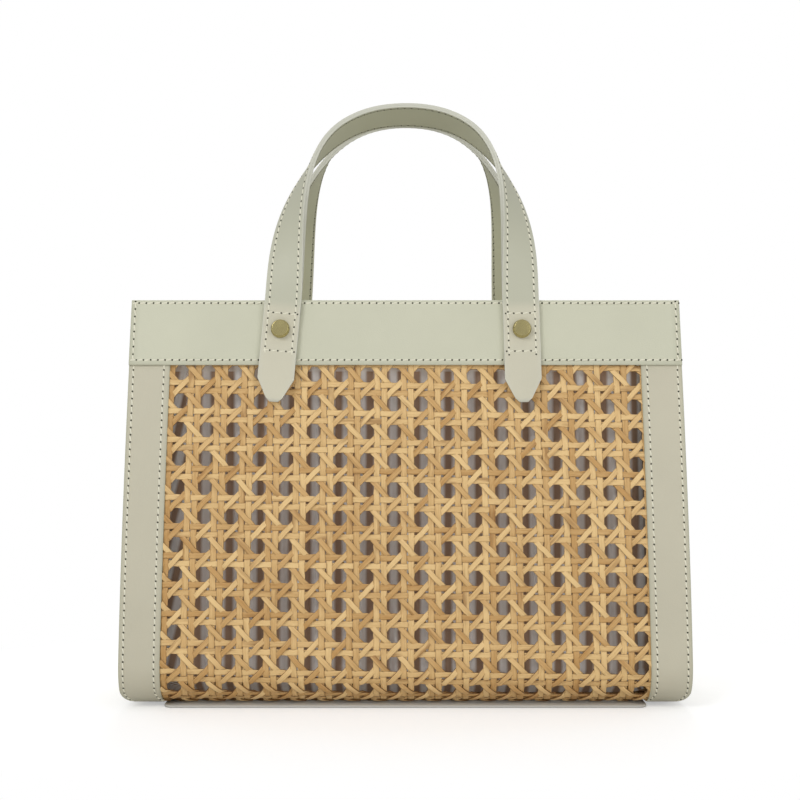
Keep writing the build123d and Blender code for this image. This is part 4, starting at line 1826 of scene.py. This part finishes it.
    def handle(self, end: End, handle: Handle) -> None:
        """Sews one handle along both its edges, outside and in, and its two boxes.

        Args:
            end: front or back.
            handle: the handle.
        """
        line = handle.stations(handle.box_bottom)
        arch = [s for s in line if s.place.z > handle.fold_height + 9 * MM]
        rows = self.edge_rows(end, line, handle.stack / 2, self.strap_inset)
        for side in SIDES:
            for below in (handle.box_top, handle.box_bottom):
                s = handle.end_station(side, below)
                reach = s.half - self.strap_inset
                places = [facing(end, s.place + s.across * reach * share + s.out * handle.stack / 2)
                          for share in spread(-0.9, 0.9, 6)]
                rows.append(Row(places, [facing(end, s.out)] * len(places)))
        seed = self.handle_seeds[end]
        outer = self.sew(f"{end}_handle_stitches", rows, seed)
        settle(outer, None, "strap_leather")
        rows = self.edge_rows(end, arch, -handle.stack / 2, self.lining_inset)
        inner = self.sew(f"{end}_lining_stitches", rows, seed + 10, DULL_STITCH)
        settle(inner, None, "lining_leather")
        for piece in (outer, inner):
            handle.blend(end, piece)

    @staticmethod
    def edge_rows(end: End, line: Sequence[Station], depth: float, inset: float) -> list[Row]:
        """The two rows along a strap's edges, on the face at a depth from its middle.

        Args:
            end: front or back.
            line: the places along the strap.
            depth: how far the face is from its middle.
            inset: how far in from the edge the rows lie.

        Returns:
            The two rows.
        """
        way = 1 if depth > 0 else -1
        outs = [facing(end, s.out * way) for s in line]
        rows = []
        for across in (-1, 1):
            spots = [s.place + s.across * across * (s.half - inset) + s.out * depth for s in line]
            places = [facing(end, spot) for spot in spots]
            rows.append(Row(places, outs))
        return rows


@dataclass(frozen=True)
class Lamp:
    """A round area lamp, with its place and size in metres and its power in watts."""

    name: str
    place: tuple[float, float, float]
    size: float
    power: float


@dataclass
class Studio:
    """A pale floor, soft light and the photograph's point of view."""

    camera_place: tuple[float, float, float] = (-3.0 * MM, -860.0 * MM, 169.4 * MM)
    lens: float = 66.5
    aim_height: float = 150 * MM
    lamps: tuple[Lamp, ...] = (
        Lamp("key", (-1.2, -1.9, 1.5), 1.0, 17.0),
        Lamp("fill", (1.3, -1.9, 0.7), 1.4, 8.5),
        Lamp("back", (0.1, 1.3, 1.7), 1.2, 11.0),
    )
    sky: float = 0.56
    floor_half: float = 6.0
    floor_tone: float = 0.86
    shadow_tone: float = 0.8
    shadow_glow: float = 0.42
    shadow_reach: float = 0.1
    fade: float = 0.12

    def floor(self) -> None:
        """A wide level floor."""
        mesh = bpy.data.meshes.new("floor")
        size = self.floor_half
        corners = [(-size, -size, 0), (size, -size, 0), (size, size, 0), (-size, size, 0)]
        mesh.from_pydata(corners, [], [(0, 1, 2, 3)])
        mesh.materials.append(self.white())
        floor = bpy.data.objects.new("floor", mesh)
        bpy.context.scene.collection.objects.link(floor)

    @staticmethod
    def matt(graph: Graph, tone: float) -> Wire:
        """A matt grey shader."""
        return graph.wire("ShaderNodeBsdfDiffuse", inputs={"Color": (tone, tone, tone, 1.0)})

    def white(self) -> bpy.types.Material:
        """Pale ground that looks white to the camera, plain white away from the bag's shadow.

        Returns:
            The material.
        """
        material = bpy.data.materials.new("white_floor")
        material.use_nodes = True
        graph = Graph(material.node_tree)
        place = graph.wire("ShaderNodeTexCoord", output="Object")
        flat = graph.wire("ShaderNodeVectorMath", {"operation": "MULTIPLY"}, {0: place, 1: (0.6, 1.0, 0.0)})
        away = graph.wire("ShaderNodeVectorMath", {"operation": "LENGTH"}, {0: flat}, output="Value")
        far = graph.clamp((away - self.shadow_reach) / self.fade, 0, 1)
        glow = graph.wire("ShaderNodeEmission", inputs={"Strength": self.shadow_glow})
        near = graph.wire("ShaderNodeAddShader", inputs={0: self.matt(graph, self.shadow_tone), 1: glow})
        white = graph.wire("ShaderNodeEmission", inputs={"Strength": 1.0})
        ground = graph.wire("ShaderNodeMixShader", inputs={0: far, 1: near, 2: white})
        seen = graph.wire("ShaderNodeLightPath", output="Is Camera Ray")
        plain = self.matt(graph, self.floor_tone)
        mixed = graph.wire("ShaderNodeMixShader", inputs={0: seen, 1: plain, 2: ground})
        output = graph.node("ShaderNodeOutputMaterial")
        graph.feed(output.inputs["Surface"], mixed)
        return material

    def world(self) -> None:
        """A soft grey world that looks white to the camera."""
        world = bpy.data.worlds.new("studio")
        world.use_nodes = True
        bpy.context.scene.world = world
        graph = Graph(world.node_tree)
        seen = graph.wire("ShaderNodeLightPath", output="Is Camera Ray")
        strength = seen * (1 - self.sky) + self.sky
        light = graph.wire("ShaderNodeBackground", inputs={"Color": FLAT_WHITE, "Strength": strength})
        graph.feed(graph.node("ShaderNodeOutputWorld").inputs["Surface"], light)

    def hang(self, lamp: Lamp) -> None:
        """Hangs a lamp that points at the middle of the bag.

        Args:
            lamp: the lamp.
        """
        light = bpy.data.lights.new(lamp.name, "AREA")
        light.shape = "DISK"
        light.size = lamp.size
        light.energy = lamp.power
        hung = bpy.data.objects.new(lamp.name, light)
        hung.location = lamp.place
        aim = Vector((0, 0, self.aim_height)) - Vector(lamp.place)
        hung.rotation_euler = aim.to_track_quat("-Z", "Y").to_euler()
        bpy.context.scene.collection.objects.link(hung)

    def camera(self) -> None:
        """The camera, level and square to the front."""
        data = bpy.data.cameras.new("camera")
        data.lens = self.lens
        data.clip_start = 0.05
        camera = bpy.data.objects.new("camera", data)
        camera.location = self.camera_place
        camera.rotation_euler = (math.pi / 2, 0, 0)
        bpy.context.scene.collection.objects.link(camera)
        bpy.context.scene.camera = camera

    def build(self) -> None:
        """Sets up the studio."""
        bpy.context.scene.view_settings.view_transform = "Standard"
        self.camera()
        self.world()
        self.floor()
        for lamp in self.lamps:
            self.hang(lamp)


def main() -> None:
    """Builds the studio and the bag, piece by piece."""
    logging.basicConfig(level=logging.INFO, format="%(name)s: %(message)s")
    Studio().build()
    weave = CaneWeave()
    for end in End:
        weave.build(end)
    trim = Trim()
    trim.build()
    handle = Handle()
    stitching = Stitching()
    for end in End:
        handle.build(end)
        stitching.handle(end, handle)
    stitching.body(trim)
    Studs().build(handle)
    Pouch().build()


if __name__ == "__main__":
    main()
